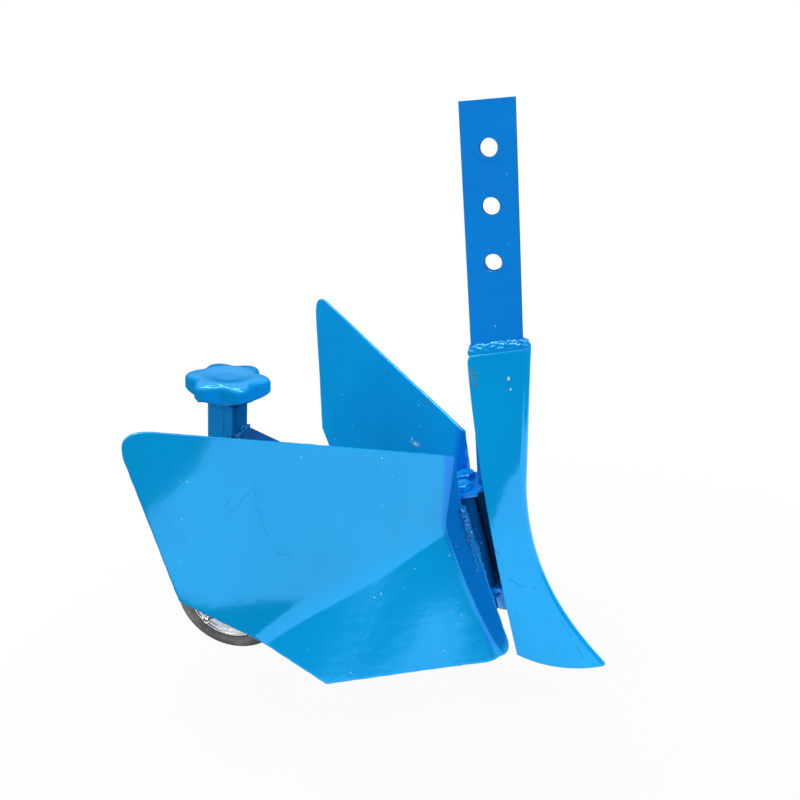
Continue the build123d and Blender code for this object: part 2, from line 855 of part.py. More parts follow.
rim_face = -rim_half - rim_sheet
bead_inner = rim_bead_radius - rim_bead_width
disc_face = [
    (hub_diameter / 2, rim_face),
    (bead_inner - rim_bead_slope, rim_face),
    (bead_inner, rim_face - rim_bead_height),
    (rim_bead_radius, rim_face - rim_bead_height),
    (rim_bead_radius + rim_bead_slope, rim_face),
    (lip_radius, rim_face),
]
disc_back = [(radius, y + rim_sheet) for radius, y in reversed(disc_face)]
rim_bolt_holes = Plane(origin=wheel_centre, x_dir=(1, 0, 0), z_dir=(0, -1, 0))
with BuildPart() as rim_disc:
    with BuildSketch(wheel_section):
        with BuildLine():
            Polyline(*disc_face, *disc_back, close=True)
        make_face()
    revolve(axis=wheel_axis)
    with BuildSketch(rim_bolt_holes):
        with PolarLocations(rim_bolt_ring, rim_bolt_count, start_angle=rim_bolt_angle):
            Circle(rim_bolt / 2 + bolt_hole_clearance)
    extrude(amount=wheel_width, both=True, mode=Mode.SUBTRACT)
save(rim_disc.part, "rim_disc_right")

with BuildPart() as rim_disc_far:
    add(mirror(rim_disc.part, about=Plane.XZ, mode=Mode.PRIVATE))
save(rim_disc_far.part, "rim_disc_left")

bolt_tip = -rim_face + rim_nut + rim_bolt_stick_out
with BuildPart() as rim_bolts:
    with BuildSketch(rim_bolt_holes.offset(rim_face)):
        with PolarLocations(rim_bolt_ring, rim_bolt_count, start_angle=rim_bolt_angle):
            RegularPolygon(rim_bolt_flats / 2, 6, major_radius=False)
    extrude(amount=-rim_bolt_head)
    with BuildSketch(rim_bolt_holes.offset(rim_face)):
        with PolarLocations(rim_bolt_ring, rim_bolt_count, start_angle=rim_bolt_angle):
            Circle(rim_bolt / 2)
    extrude(amount=bolt_tip - rim_face)
save(rim_bolts.part, "rim_bolts")

with BuildPart() as rim_nuts:
    with BuildSketch(rim_bolt_holes.offset(-rim_face)):
        with PolarLocations(rim_bolt_ring, rim_bolt_count, start_angle=rim_bolt_angle):
            RegularPolygon(rim_bolt_flats / 2, 6, major_radius=False)
            Circle(rim_bolt / 2 + running_clearance, mode=Mode.SUBTRACT)
    extrude(amount=rim_nut)
save(rim_nuts.part, "rim_nuts")

bush_outer = hub_diameter / 2 - hub_wall
with BuildPart() as hub_tube:
    with BuildSketch(wheel_section):
        with Locations((hub_diameter / 2 - hub_wall / 2, 0)):
            Rectangle(hub_wall, wheel_width)
    revolve(axis=wheel_axis)
save(hub_tube.part, "hub_tube")

bush_wall = bush_outer - thread_bore / 2
with BuildPart() as hub_bushes:
    with BuildSketch(wheel_section):
        with Locations(
            (bush_outer - bush_wall / 2, half_width - bush_length / 2),
            (bush_outer - bush_wall / 2, bush_length / 2 - half_width),
        ):
            Rectangle(bush_wall, bush_length)
    revolve(axis=wheel_axis)
save(hub_bushes.part, "hub_bushes")
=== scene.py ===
from math import cos, pi, radians, sin, tan

import bmesh
import bpy
import numpy as np
from mathutils import Matrix


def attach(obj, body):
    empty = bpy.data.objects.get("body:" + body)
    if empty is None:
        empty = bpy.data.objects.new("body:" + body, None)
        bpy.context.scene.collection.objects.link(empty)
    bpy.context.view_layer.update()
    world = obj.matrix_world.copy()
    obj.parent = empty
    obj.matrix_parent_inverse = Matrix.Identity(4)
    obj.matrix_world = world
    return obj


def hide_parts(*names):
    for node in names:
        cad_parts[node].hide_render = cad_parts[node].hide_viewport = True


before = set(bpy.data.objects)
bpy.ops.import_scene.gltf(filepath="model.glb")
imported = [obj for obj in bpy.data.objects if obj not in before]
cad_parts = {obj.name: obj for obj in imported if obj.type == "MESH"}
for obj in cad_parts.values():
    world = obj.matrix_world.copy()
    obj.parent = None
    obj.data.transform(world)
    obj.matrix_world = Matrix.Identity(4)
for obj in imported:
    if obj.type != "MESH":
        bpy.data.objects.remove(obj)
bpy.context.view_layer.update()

# Furrowing plough attachment: flat-bar shank, curved V share, two hinged wings, depth wheel, star knob.
# Lengths are millimetres in the part's own frame (+X forward, +Y left, +Z up) until a mesh is written.
MM = 0.001


# Frames of the object
def leaning(x, z, lean):
    """Origin and axes (rows) of a mid-plane frame whose third axis leans back from +Z by an angle."""
    turn = radians(lean)
    axes = np.array([[cos(turn), 0, sin(turn)], [0, 1, 0], [-sin(turn), 0, cos(turn)]])
    return np.array([x, 0.0, z]), axes


def placed(points, where):
    """Points of a local frame carried to the part's frame: origin plus each coordinate times its axis."""
    origin, axes = where
    return origin + np.asarray(points, float) @ axes


def moved(where, step):
    """The same frame with its origin stepped along its own axes."""
    return placed(step, where), where[1]


hinge = leaning(-26.5, -305.5, 10.65)
post = leaning(-263.8, -174.5, -9.3)
wheel_centre = placed((8.5, 0, -214.0), post)
wheel_axle = (wheel_centre, np.array([[1.0, 0, 0], [0, 0, 1.0], [0, -1.0, 0]]))
far_side = (wheel_centre, wheel_axle[1] * np.array([[1.0], [1.0], [-1.0]]))
PIVOT_OUT = 12.0
HANDS = (("right", -1), ("left", 1))


def around(count):
    """Even angles round a full turn, without the last one, which is the first again."""
    return np.linspace(0, 2 * pi, count, endpoint=False)


def unit(vectors):
    """Vectors divided by their lengths."""
    return vectors / np.linalg.norm(vectors, axis=-1, keepdims=True)


def polar(radius, turn, level):
    """Points at a radius and an angle about the third axis, and a level along it."""
    return np.stack(np.broadcast_arrays(radius * np.cos(turn), radius * np.sin(turn), level), -1)


# Mesh making
HARD_EDGE, BEAD_EDGE = 30.0, 70.0
MERGE_GAP = 2e-6
FLAT_LIMIT, CORNER_LIMIT = radians(0.6), radians(40)
BEAD_STEP = 0.5


def skin(rows, loop=True, ring=False, ends=True):
    """A shell over rows of points: neighbours in a row and in the next row make a quad, each row joins up
    with itself when loop is set, the rows join up when ring is set, and otherwise each end gets a middle
    point."""
    count, across, _ = rows.shape
    points = rows.reshape(-1, 3)
    i = np.arange(count if ring else count - 1)[:, None]
    j = np.arange(across if loop else across - 1)[None, :]
    below = (i + 1) % count * across
    beside = (j + 1) % across
    blocks = [np.stack([i * across + j, i * across + beside, below + beside, below + j], -1).reshape(-1, 4)]
    if ends and not ring:
        k = np.arange(across)
        nxt = (k + 1) % across
        last = (count - 1) * across
        first = np.stack([nxt, k, np.full(across, len(points))], -1)
        final = np.stack([last + k, last + nxt, np.full(across, len(points) + 1)], -1)
        blocks.append(np.concatenate([first, final]))
        points = np.concatenate([points, [rows[0].mean(0), rows[-1].mean(0)]])
    return points, blocks


def outward(points, blocks):
    """The faces turned outward: the volume under all their corner fans has to be above nothing."""
    volume = 0.0
    for block in blocks:
        corner = points[block] - points.mean(0)
        for k in range(1, block.shape[1] - 1):
            volume += np.einsum("ij,ij->", corner[:, 0], np.cross(corner[:, k], corner[:, k + 1]))
    return blocks if volume > 0 else [block[:, ::-1] for block in blocks]


def piece(name, shells, finish, body, *stands_for, crease=HARD_EDGE, slot="blue_paint"):
    """One mesh piece from closed shells, smooth but for edges sharper than the crease angle."""
    points, faces, start = [], [], 0
    for shell_points, blocks in shells:
        points.append(shell_points * MM)
        for block in outward(shell_points, blocks):
            faces += (block + start).tolist()
        start += len(shell_points)
    mesh = bpy.data.meshes.new(name)
    mesh.from_pydata(np.concatenate(points).tolist(), [], faces)
    settle(name, mesh, finish, body, stands_for, crease)


def settle(name, mesh, finish, body, stands_for, crease=HARD_EDGE):
    """The mesh as an object at the origin that rides its body, with its finish and the nodes it stands
    for."""
    mesh.polygons.foreach_set("use_smooth", np.ones(len(mesh.polygons), bool))
    mesh.set_sharp_from_angle(angle=radians(crease))
    mesh.materials.append(finish)
    mesh.update()
    thing = bpy.data.objects.new(name, mesh)
    bpy.context.collection.objects.link(thing)
    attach(thing, body)
    if stands_for:
        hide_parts(*stands_for)
    return thing


def eased(node, width, finish, body):
    """A copy of a flat-sided node with its sharp edges rounded over by a width."""
    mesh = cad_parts[node].data.copy()
    mesh.name = node + "_eased"
    mesh.materials.clear()
    work = bmesh.new()
    work.from_mesh(mesh)
    bmesh.ops.remove_doubles(work, verts=work.verts, dist=MERGE_GAP)
    bmesh.ops.dissolve_limit(work, angle_limit=FLAT_LIMIT, verts=work.verts, edges=work.edges)
    work.to_mesh(mesh)
    work.free()
    thing = settle(node + "_eased", mesh, finish, body, (node,))
    rounding = thing.modifiers.new("edges", "BEVEL")
    rounding.width = width * MM
    rounding.segments = 2
    rounding.limit_method = "ANGLE"
    rounding.angle_limit = CORNER_LIMIT


def lumps(rows, across, waves, seed):
    """Smooth random lumps from about -1 to 1 over a closed grid: nine sines with whole numbers of waves
    both ways and random phases, added up."""
    draw = np.random.default_rng(seed)
    u = around(rows)[:, None, None]
    v = around(across)[None, :, None]
    sines = 9
    down = draw.integers(1, max(2, waves) + 1, sines)
    beside = draw.integers(-3, 4, sines)
    return np.sin(u * down + v * beside + draw.uniform(0, 2 * pi, sines)).sum(-1) / 4


def run_to(path):
    """The length run from the start of a path to each of its points."""
    return np.concatenate([[0], np.cumsum(np.linalg.norm(np.diff(path, axis=0), axis=1))])


def points_at(path, at):
    """Points of a path at given lengths from its start, on the straight runs between its corner points."""
    run = run_to(path)
    return np.stack([np.interp(at, run, line) for line in path.T], -1)


def along(path, step):
    """Points at even steps along a path of corner points, with the unit direction and the run at each."""
    path = np.asarray(path, float)
    whole = run_to(path)[-1]
    at = np.linspace(0, whole, max(8, int(whole / step)))
    points = points_at(path, at)
    return points, unit(np.gradient(points, axis=0)), at


def bead(path, size, seed, side=(0.0, 0.0, 1.0), rough=0.16, flat=0.8, ripple=2.8, across=16):
    """A weld bead: an oval section carried along a path, its size swelling with each ripple of the weld
    and with coarse and fine random lumps, and closing to a point at both ends."""
    points, heading, at = along(path, BEAD_STEP)
    count = len(points)
    sideways = np.cross(heading, np.asarray(side, float))
    sideways /= np.linalg.norm(sideways, axis=1)[:, None] + 1e-9
    up = np.cross(sideways, heading)
    turn = around(across)
    wave = np.abs(np.sin(pi * at[:, None] / ripple - 0.55 * np.cos(turn)[None, :]))
    lump = lumps(count, across, count // 16, seed) + 0.7 * lumps(count, across, count // 6, seed + 1)
    ends = np.clip(np.minimum(at, at[-1] - at)[:, None] / size, 0, 1)
    grow = size * (0.86 + 0.18 * wave + rough * lump) * np.sqrt(ends * (2 - ends) + 0.002)
    wide = np.cos(turn)[None, :, None] * sideways[:, None]
    high = flat * np.sin(turn)[None, :, None] * up[:, None]
    return skin(points[:, None] + grow[:, :, None] * (wide + high))


def turned(profile, where, across=96):
    """A profile of (radius, height) points turned about the third axis of a frame; a closed profile gives
    a ring, and an open one is closed at its ends."""
    profile = np.asarray(profile, float)
    ring = bool(np.allclose(profile[0], profile[-1]))
    rows = profile[:-1] if ring else profile
    return skin(placed(polar(rows[:, :1], around(across), rows[:, 1:]), where), ring=ring)


def star_rows(rings, turn, where):
    """Rings of (radius, height) arrays round an angle, carried to the part's frame."""
    return placed(np.stack([polar(radius, turn, level) for radius, level in rings]), where)


def six_sided(where, flats, height, bore=0.0):
    """A hexagon of a height with its corners turned off at 30 degrees: its edge radius is half the flats
    over the cosine to the nearest flat, and the top drops by the slope where that passes the chamfer
    circle."""
    turn = around(120)
    edge = flats / 2 / np.cos((turn % (pi / 3)) - pi / 6)
    crown = flats / 2 * 0.96 + 0 * turn
    fall = (edge - crown) * tan(radians(30))
    soft = 0.25
    inner = max(bore / 2, 0.2) + 0 * turn
    rings = [
        (inner, 0.0), (edge - soft, 0.0), (edge, soft), (edge, height - fall - 0.1),
        (edge - soft, height - fall + 0.05), (crown, height), (inner + 0.6, height), (inner, height - 0.3),
    ]
    return skin(star_rows(rings, turn, where), ring=bore > 0)


def threaded(where, diameter, length, pitch):
    """A screw thread: the radius falls from the crest by a triangle wave of the height less the turned
    share of a pitch, with both ends chamfered."""
    levels = np.linspace(0, length, max(8, int(length / pitch * 10)))[:, None]
    turn = around(36)[None, :]
    phase = (levels / pitch - turn / (2 * pi)) % 1.0
    root = 0.6 * pitch
    depth = root * np.abs(2 * phase - 1) ** 1.2
    ends = np.clip(np.minimum(levels, length - levels) / (0.8 * pitch), 0, 1)
    radius = diameter / 2 - root + (root - depth) * ends
    return skin(placed(polar(radius, turn, levels), where))


def rod(where, diameter, length, ease=0.6):
    """A plain round bar with eased ends."""
    r = diameter / 2
    return turned([(r - ease, 0), (r, ease), (r, length - ease), (r - ease, length)], where, 48)


# Finishes
DEEP_BLUE = (0.0004, 0.150, 0.450)
# Deep navy for the post's seam line and for the painted shade on its front side
SEAM_AND_SHADE_BLUE = (0.0004, 0.040, 0.180)
# Painted shade: the deeper blue laid on the wings' front strips
STRIP_SHADE_BLUE = (0.0005, 0.215, 0.800)
BARE_CHIP = (0.16, 0.15, 0.14)
RUST_DARK, RUST_PALE = (0.055, 0.045, 0.040), (0.17, 0.13, 0.10)
# Pale for the far wing's splash and for the share's painted glints
PALE_SPLASH_AND_GLINT = (0.62, 0.78, 0.88)
PALE_DUST = (0.66, 0.80, 0.88)
SCAR_SHAKE = 2.4


def node_tree(owner):
    """An empty node tree with a way to add a node and set or join its inputs."""
    owner.use_nodes = True
    tree = owner.node_tree
    tree.nodes.clear()

    def add(kind, *inputs, **values):
        node = tree.nodes.new(kind)
        for key, value in values.items():
            setattr(node, key, value)
        for socket, source in inputs:
            feed(node, socket, source)
        return node

    return add


def feed(node, socket, source):
    """An input joined to another node's output, or set to a number or colour."""
    if isinstance(source, bpy.types.NodeSocket):
        node.id_data.links.new(source, node.inputs[socket])
    else:
        node.inputs[socket].default_value = source


def coat(name):
    """A new material with its shader, a way to add nodes and the object's own coordinates."""
    made = bpy.data.materials.new(name)
    add = node_tree(made)
    shader = add("ShaderNodeBsdfPrincipled")
    add("ShaderNodeOutputMaterial", (0, shader.outputs[0]))
    return made, add, shader, add("ShaderNodeTexCoord").outputs["Object"]


def calc(add, work, a, b=0.0):
    """A sum worked with two numbers, such as their difference or the greater of them."""
    return add("ShaderNodeMath", (0, a), (1, b), operation=work).outputs[0]


def times(add, a, b):
    """The product of two numbers."""
    return calc(add, "MULTIPLY", a, b)


def arrow(add, work, a, b):
    """A sum worked with two vectors: a number for a product, length or distance, and else a vector."""
    node = add("ShaderNodeVectorMath", (0, a), (1, b), operation=work)
    return node.outputs["Value" if work in ("DOT_PRODUCT", "DISTANCE", "LENGTH") else "Vector"]


def smooth(add, source, low, high, start=0.0, end=1.0):
    """A smooth step of a value from one number to another."""
    ends = (("From Min", low), ("From Max", high), ("To Min", start), ("To Max", end))
    node = add("ShaderNodeMapRange", ("Value", source), *ends, interpolation_type="SMOOTHSTEP")
    return node.outputs[0]


def noise(add, place, scale, detail=3.0, rough=0.55):
    """Smooth noise over the object's own coordinates, in waves per metre."""
    inputs = (("Vector", place), ("Scale", scale), ("Detail", detail), ("Roughness", rough))
    return add("ShaderNodeTexNoise", *inputs).outputs["Fac"]


def over(add, mask, under, upper):
    """One colour laid over another where the mask is set."""
    node = add("ShaderNodeMix", ("Factor", mask), data_type="RGBA")
    for socket, source in ((6, under), (7, upper)):
        feed(node, socket, source if isinstance(source, bpy.types.NodeSocket) else (*source, 1.0))
    return node.outputs[2]


def bumped(add, height, strength, distance, below=None, invert=False):
    """A bump of a height in millimetres over the normal below it."""
    inputs = (("Height", height), ("Strength", strength), ("Distance", distance * MM))
    node = add("ShaderNodeBump", *inputs, invert=invert)
    if below:
        feed(node, "Normal", below)
    return node.outputs[0]


def scar(add, place, runs, width):
    """One along scratches: the distance to the nearest point of each straight run, with the place shaken
    by noise and the width swelling with it, under a width."""
    shake = add("ShaderNodeTexNoise", ("Vector", place), ("Scale", 260.0), ("Detail", 2.0))
    middle = arrow(add, "SUBTRACT", shake.outputs["Color"], (0.5, 0.5, 0.5))
    place = arrow(add, "ADD", place, arrow(add, "MULTIPLY", middle, (SCAR_SHAKE * MM,) * 3))
    least = 1.0
    for start, end in runs:
        start = np.array(start) * MM
        run = np.array(end) * MM - start
        leg = arrow(add, "SUBTRACT", place, tuple(start))
        part = add("ShaderNodeClamp", ("Value", arrow(add, "DOT_PRODUCT", leg, tuple(run / (run @ run)))))
        foot = add("ShaderNodeVectorMath", (0, tuple(run)), ("Scale", part.outputs[0]), operation="SCALE")
        least = calc(add, "MINIMUM", arrow(add, "DISTANCE", leg, foot.outputs[0]), least)
    swell = smooth(add, noise(add, place, 120.0, 2.0), 0.3, 0.7, 0.5 * width * MM, 1.3 * width * MM)
    return smooth(add, calc(add, "DIVIDE", least, swell), 0.45, 1.0, 1.0, 0.0)


def blue_enamel(
    name, deep, bright, marks=None,
    dust=0.10, chip=0.6, grime=0.30, peel=0.10, gloss=0.18, flake=0.1, mirror=0.5,
):
    """Sprayed-on blue enamel: two blues by slow noise, a faint film of grime, pale dust specks, the marks
    of its own piece, brown chips along the edges, an orange-peel bump, and roughness that varies with
    them."""
    made, add, shader, place = coat(name)
    shader.inputs["Metallic"].default_value = flake
    shader.inputs["Specular IOR Level"].default_value = mirror
    colour = over(add, smooth(add, noise(add, place, 9.0, 2.0), 0.35, 0.65), deep, bright)
    streak = add("ShaderNodeMapping", ("Vector", place), ("Scale", (30.0, 30.0, 5.0))).outputs[0]
    film = smooth(add, noise(add, streak, 1.0, 5.0, 0.7), 0.45, 0.8, 0.0, grime)
    colour = over(add, film, colour, (deep[0] * 0.5, deep[1] * 0.55, deep[2] * 0.6))
    if marks:
        colour = marks(add, place, colour)

    cells = add("ShaderNodeTexVoronoi", ("Vector", place), ("Scale", 210.0))
    lone = add("ShaderNodeSeparateColor", ("Color", cells.outputs["Color"])).outputs
    size = smooth(add, lone[1], 0.0, 1.0, 0.05, 0.15)
    dot = smooth(add, calc(add, "DIVIDE", cells.outputs["Distance"], size), 0.6, 1.0, 1.0, 0.0)
    few = calc(add, "GREATER_THAN", lone[0], 1 - 0.22 * dust)
    patch = smooth(add, noise(add, place, 16.0, 2.0), 0.46, 0.60)
    specks = times(add, times(add, dot, few), patch)
    colour = over(add, specks, colour, PALE_DUST)

    soft = add("ShaderNodeBevel", ("Radius", 1.6 * MM), samples=4).outputs[0]
    meet = arrow(add, "DOT_PRODUCT", soft, add("ShaderNodeNewGeometry").outputs["True Normal"])
    edge = smooth(add, meet, 0.78, 0.97, 1.0, 0.0)
    bite = 0.72 - chip * 0.12
    bitten = smooth(add, noise(add, place, 150.0, 4.0, 0.65), bite, bite + 0.02)
    chips = times(add, edge, bitten)
    rust = over(add, smooth(add, noise(add, place, 420.0), 0.35, 0.65), RUST_DARK, RUST_PALE)
    feed(shader, "Base Color", over(add, chips, colour, rust))

    rough = smooth(add, film, 0.0, 0.5, gloss, gloss + 0.2)
    worn = calc(add, "MAXIMUM", times(add, chips, 0.62), times(add, specks, 0.7))
    feed(shader, "Roughness", calc(add, "MAXIMUM", rough, worn))
    fine = bumped(add, noise(add, place, 520.0, 2.0), peel, 0.4)
    sag = bumped(add, noise(add, place, 60.0, 2.0), peel, 2.2, fine)
    feed(shader, "Normal", bumped(add, chips, 0.5, 0.3, sag, True))
    return made


def bright_metal(name, low, high, rough_low, rough_high):
    """Plated or bare metal: two greys and two roughnesses by noise, with a fine bump of flecks."""
    made, add, shader, place = coat(name)
    shader.inputs["Metallic"].default_value = 1.0
    fleck = noise(add, place, 240.0, 5.0, 0.65)
    feed(shader, "Base Color", over(add, smooth(add, fleck, 0.3, 0.7), low, high))
    feed(shader, "Roughness", smooth(add, noise(add, place, 70.0, 4.0), 0.3, 0.7, rough_low, rough_high))
    feed(shader, "Normal", bumped(add, fleck, 0.08, 0.3))
    return made


def moulded(name, low, high, soil, dusty):
    """Moulded rubber or nylon: two shades by slow noise, soil dust in patches, matt, with a fine grain."""
    made, add, shader, place = coat(name)
    base = over(add, smooth(add, noise(add, place, 45.0, 4.0), 0.3, 0.7), low, high)
    patch = smooth(add, noise(add, place, 130.0, 5.0, 0.7), 0.5, 0.75)
    feed(shader, "Base Color", over(add, times(add, patch, dusty), base, soil))
    feed(shader, "Roughness", smooth(add, patch, 0.0, 1.0, 0.55, 0.85))
    feed(shader, "Normal", bumped(add, noise(add, place, 600.0), 0.25, 0.4))
    return made


TOP_HOLE = (0.0, -5.0, 46.5)
WASHER_RADIUS = 11.5
POST_SEAM_X = 2.5


def washer_witness(add, place, colour):
    """The faint ring that a washer pressed into the paint, round the lower half of the top hole."""
    from_hole = arrow(add, "SUBTRACT", place, tuple(np.array(TOP_HOLE) * MM))
    level = arrow(add, "MULTIPLY", from_hole, (1.0, 0.0, 1.0))
    away = calc(add, "SUBTRACT", arrow(add, "LENGTH", level, level), WASHER_RADIUS * MM)
    ring = smooth(add, calc(add, "ABSOLUTE", away), 0.2 * MM, 0.8 * MM, 0.6, 0.0)
    low = smooth(add, add("ShaderNodeSeparateXYZ", (0, from_hole)).outputs[2], -6 * MM, 2 * MM, 1.0, 0.0)
    return over(add, times(add, ring, low), colour, DEEP_BLUE)


def seam_and_painted_shade(add, place, colour):
    """The thin line of the weld seam down the near side of the square tube, and painted shade that darkens
    its front side and corner."""
    run = placed([(POST_SEAM_X, -15.0, 2.0), (POST_SEAM_X, -15.0, -107.0)], post)
    colour = over(add, times(add, scar(add, place, [run], 0.7), 0.5), colour, SEAM_AND_SHADE_BLUE)
    # Painted shade: the front side and corner of the post darkened towards deep navy
    start, axis = tuple(post[0] * MM), tuple(post[1][0])
    fore = arrow(add, "DOT_PRODUCT", arrow(add, "SUBTRACT", place, start), axis)
    return over(add, smooth(add, fore, 10.0 * MM, 12.5 * MM, 0.0, 0.8), colour, SEAM_AND_SHADE_BLUE)


bar_enamel = blue_enamel(
    "bar_enamel", (0.0006, 0.200, 0.670), (0.0010, 0.222, 0.720), washer_witness,
    dust=0.30, chip=0.9, grime=0.20, peel=0.08, gloss=0.16, flake=0.15,
)
neck_enamel = blue_enamel(
    "neck_enamel", (0.0010, 0.260, 0.700), (0.0020, 0.320, 0.800),
    dust=0.05, chip=0.2, grime=0.15, gloss=0.06, flake=0.2, mirror=0.6,
)
weld_enamel = blue_enamel(
    "weld_enamel", (0.0008, 0.130, 0.420), (0.0040, 0.210, 0.560),
    dust=0.05, chip=0.2, peel=0.25, gloss=0.08, flake=0.2,
)
knob_enamel = blue_enamel(
    "knob_enamel", (0.0008, 0.225, 0.590), (0.0020, 0.260, 0.640),
    chip=0.3, grime=0.12, gloss=0.07, flake=0.2, mirror=0.30,
)
tube_enamel = blue_enamel("tube_enamel", (0.0006, 0.170, 0.480), (0.0010, 0.200, 0.540))
post_enamel = blue_enamel("post_enamel", (0.0006, 0.195, 0.480), (0.0010, 0.225, 0.540), seam_and_painted_shade)
# Painted shade: a dark navy, nearly mirrorless copy of the blue enamel that stands in for the shade on the
# beam, hinge rib and pivot sleeves
painted_shade_enamel = blue_enamel(
    "painted_shade_enamel", (0.0005, 0.055, 0.200), (0.0010, 0.075, 0.250),
    chip=0.4, peel=0.12, gloss=0.20, mirror=0.02,
)
bolt_enamel = blue_enamel(
    "bolt_enamel", (0.0006, 0.220, 0.640), (0.0020, 0.260, 0.700),
    chip=0.9, peel=0.20, gloss=0.12, flake=0.2,
)
zinc_plate = bright_metal("zinc_plate", (0.60, 0.62, 0.64), (0.76, 0.78, 0.80), 0.20, 0.34)
bare_steel = bright_metal("bare_steel", (0.34, 0.34, 0.35), (0.56, 0.56, 0.57), 0.30, 0.48)
tyre_rubber = moulded("tyre_rubber", (0.105, 0.098, 0.092), (0.185, 0.176, 0.168), (0.30, 0.285, 0.27), 0.5)
bush_nylon = moulded("bush_nylon", (0.62, 0.60, 0.54), (0.72, 0.70, 0.64), (0.42, 0.38, 0.32), 0.3)


# Wings
def facet(spread, pitch):
    """Outward normal of a right-hand facet from its spread behind the pivot and its upward pitch."""
    level = cos(radians(pitch))
    return np.array([sin(radians(spread)) * level, -cos(radians(spread)) * level, sin(radians(pitch))])


WING_PLATE = 3.0
SLEEVE_RADIUS, SLEEVE_GAP = 9.5, 5.5
WING_FACE_Y = PIVOT_OUT + SLEEVE_RADIUS + SLEEVE_GAP + WING_PLATE
WING_CURL = 0.0012
LOW_FOLD, STRIP_FOLD = 4.0, 2.0
STRIP_SLOPES = (0.30, -0.13)
OTHER_HAND = np.array([1, -1, 1])
fold_corner = placed((-22.1, -WING_FACE_Y, 26.0), hinge)
wing_front = placed(
    [(4.5, -WING_FACE_Y, 94.2), (6.0, -WING_FACE_Y, -119.0), (-1.2, -WING_FACE_Y, 48.5)], hinge
)
view_turn = radians(38.0)
wing_axes = np.array(
    [[-cos(view_turn), -sin(view_turn), 0], [0, 0, 1.0], [-sin(view_turn), cos(view_turn), 0]]
)
facets = np.stack([facet(40.7, -9.1), facet(35.2, 10.6), facet(-11.0, 0.0)]) @ wing_axes.T


def rounded_outline(corners, rounds, count):
    """A closed outline: straight runs between corners, each corner cut back by its round and turned by a
    quadratic curve, then spaced evenly along its length."""
    corners = np.asarray(corners, float)
    back, on = unit(np.roll(corners, 1, 0) - corners), unit(np.roll(corners, -1, 0) - corners)
    half = np.arccos(np.clip((back * on).sum(1), -1, 1)) / 2
    cut = (np.asarray(rounds) / np.tan(half))[:, None, None]
    t = np.linspace(0, 1, 17)[None, :, None]
    corner, back, on = corners[:, None], back[:, None], on[:, None]
    bend = (1 - t) ** 2 * (corner + back * cut) + 2 * t * (1 - t) * corner + t**2 * (corner + on * cut)
    path = bend.reshape(-1, 2)
    path = np.concatenate([path, path[:1]])
    return points_at(path, np.linspace(0, run_to(path)[-1], count, endpoint=False))


def fold_depth(flat, inset):
    """Depth of the folded plate behind its view plane: the least of the three facet planes' depths, each
    moved in by inset, with the meeting of two planes rounded by a smooth least value, and the low facet
    curled out by half the curl times the square of the distance below its fold."""
    rear, low, strip = [-(flat @ n[:2] + inset) / n[2] for n in facets]
    slope = facets[1, :2] / facets[1, 2] - facets[0, :2] / facets[0, 2]
    below = np.clip(rear - low, 0, None) / np.linalg.norm(slope)
    low = low - WING_CURL / 2 * below**2
    least = rear
    for other, blend in ((low, LOW_FOLD), (strip, STRIP_FOLD)):
        mix = np.clip(blend - np.abs(least - other), 0, None)
        least = np.minimum(least, other) - mix**2 / (4 * blend)
    return least


def wing_face(flat, inset=0.0):
    """Points of the right wing's face over its view plane, dented by slow sines of a few tenths."""
    flat = np.asarray(flat, float)
    x, y = flat[..., 0], flat[..., 1]
    dent = 0.30 * np.sin(x / 31 + 0.8) * np.sin(y / 27 + 0.3) + 0.18 * np.sin(x / 17 + y / 23)
    depth = fold_depth(flat, inset) + dent
    return np.concatenate([flat, depth[..., None]], -1) @ wing_axes + fold_corner


def wing_shell(seed):
    """A pressed wing plate: rings that grow from a middle point to the outline, lifted to the folded
    facets, round a flat cut edge with eased corners and back over the inner face."""
    top, foot, neck = ((wing_front - fold_corner) @ wing_axes.T)[:, :2]
    corners = [top, (268, 172.5), (243, 12), (134, -109), foot, neck]
    outline = rounded_outline(corners, (2.0, 17.0, 4.0, 3.0, 20.0, 9.0), 420)
    middle = np.array([112.0, 28.0])
    out = unit(outline - middle)
    half = WING_PLATE / 2
    core = outline + out * (0.2 * lumps(420, 1, 90, seed) - half)
    spread = np.linspace(0, 1, 64)[1:, None, None] ** 0.9
    rings = middle + spread * (core - middle)[None]
    turn = np.linspace(0, pi, 13)[1:-1]
    reach = half * np.sin(turn) ** 0.45
    sunk = half * (1 - np.sign(np.cos(turn)) * np.abs(np.cos(turn)) ** 0.45)
    rim = [wing_face(core + out * r, s)[None] for r, s in zip(reach, sunk)]
    return np.concatenate([wing_face(rings), *rim, wing_face(rings[::-1], WING_PLATE)])


def linked(spots):
    """The straight runs from each spot of a path to the next."""
    return list(zip(spots[:-1], spots[1:]))


wing_scratches = [
    [(171, 100), (174, 96), (184, 89), (188, 84), (200, 78)],
    [(173, 95), (172, 89), (173, 78), (170, 70), (169, 59), (166, 48)],
    [(195, 90), (197, 87)],
    [(162, 32), (157, 27), (152, 25), (148, 19)],
    [(-23, -122), (-27, -137)],
]
far_splash = [(67, 42), (56, 40)]
far_chip = [(49, 89), (41, 87)]


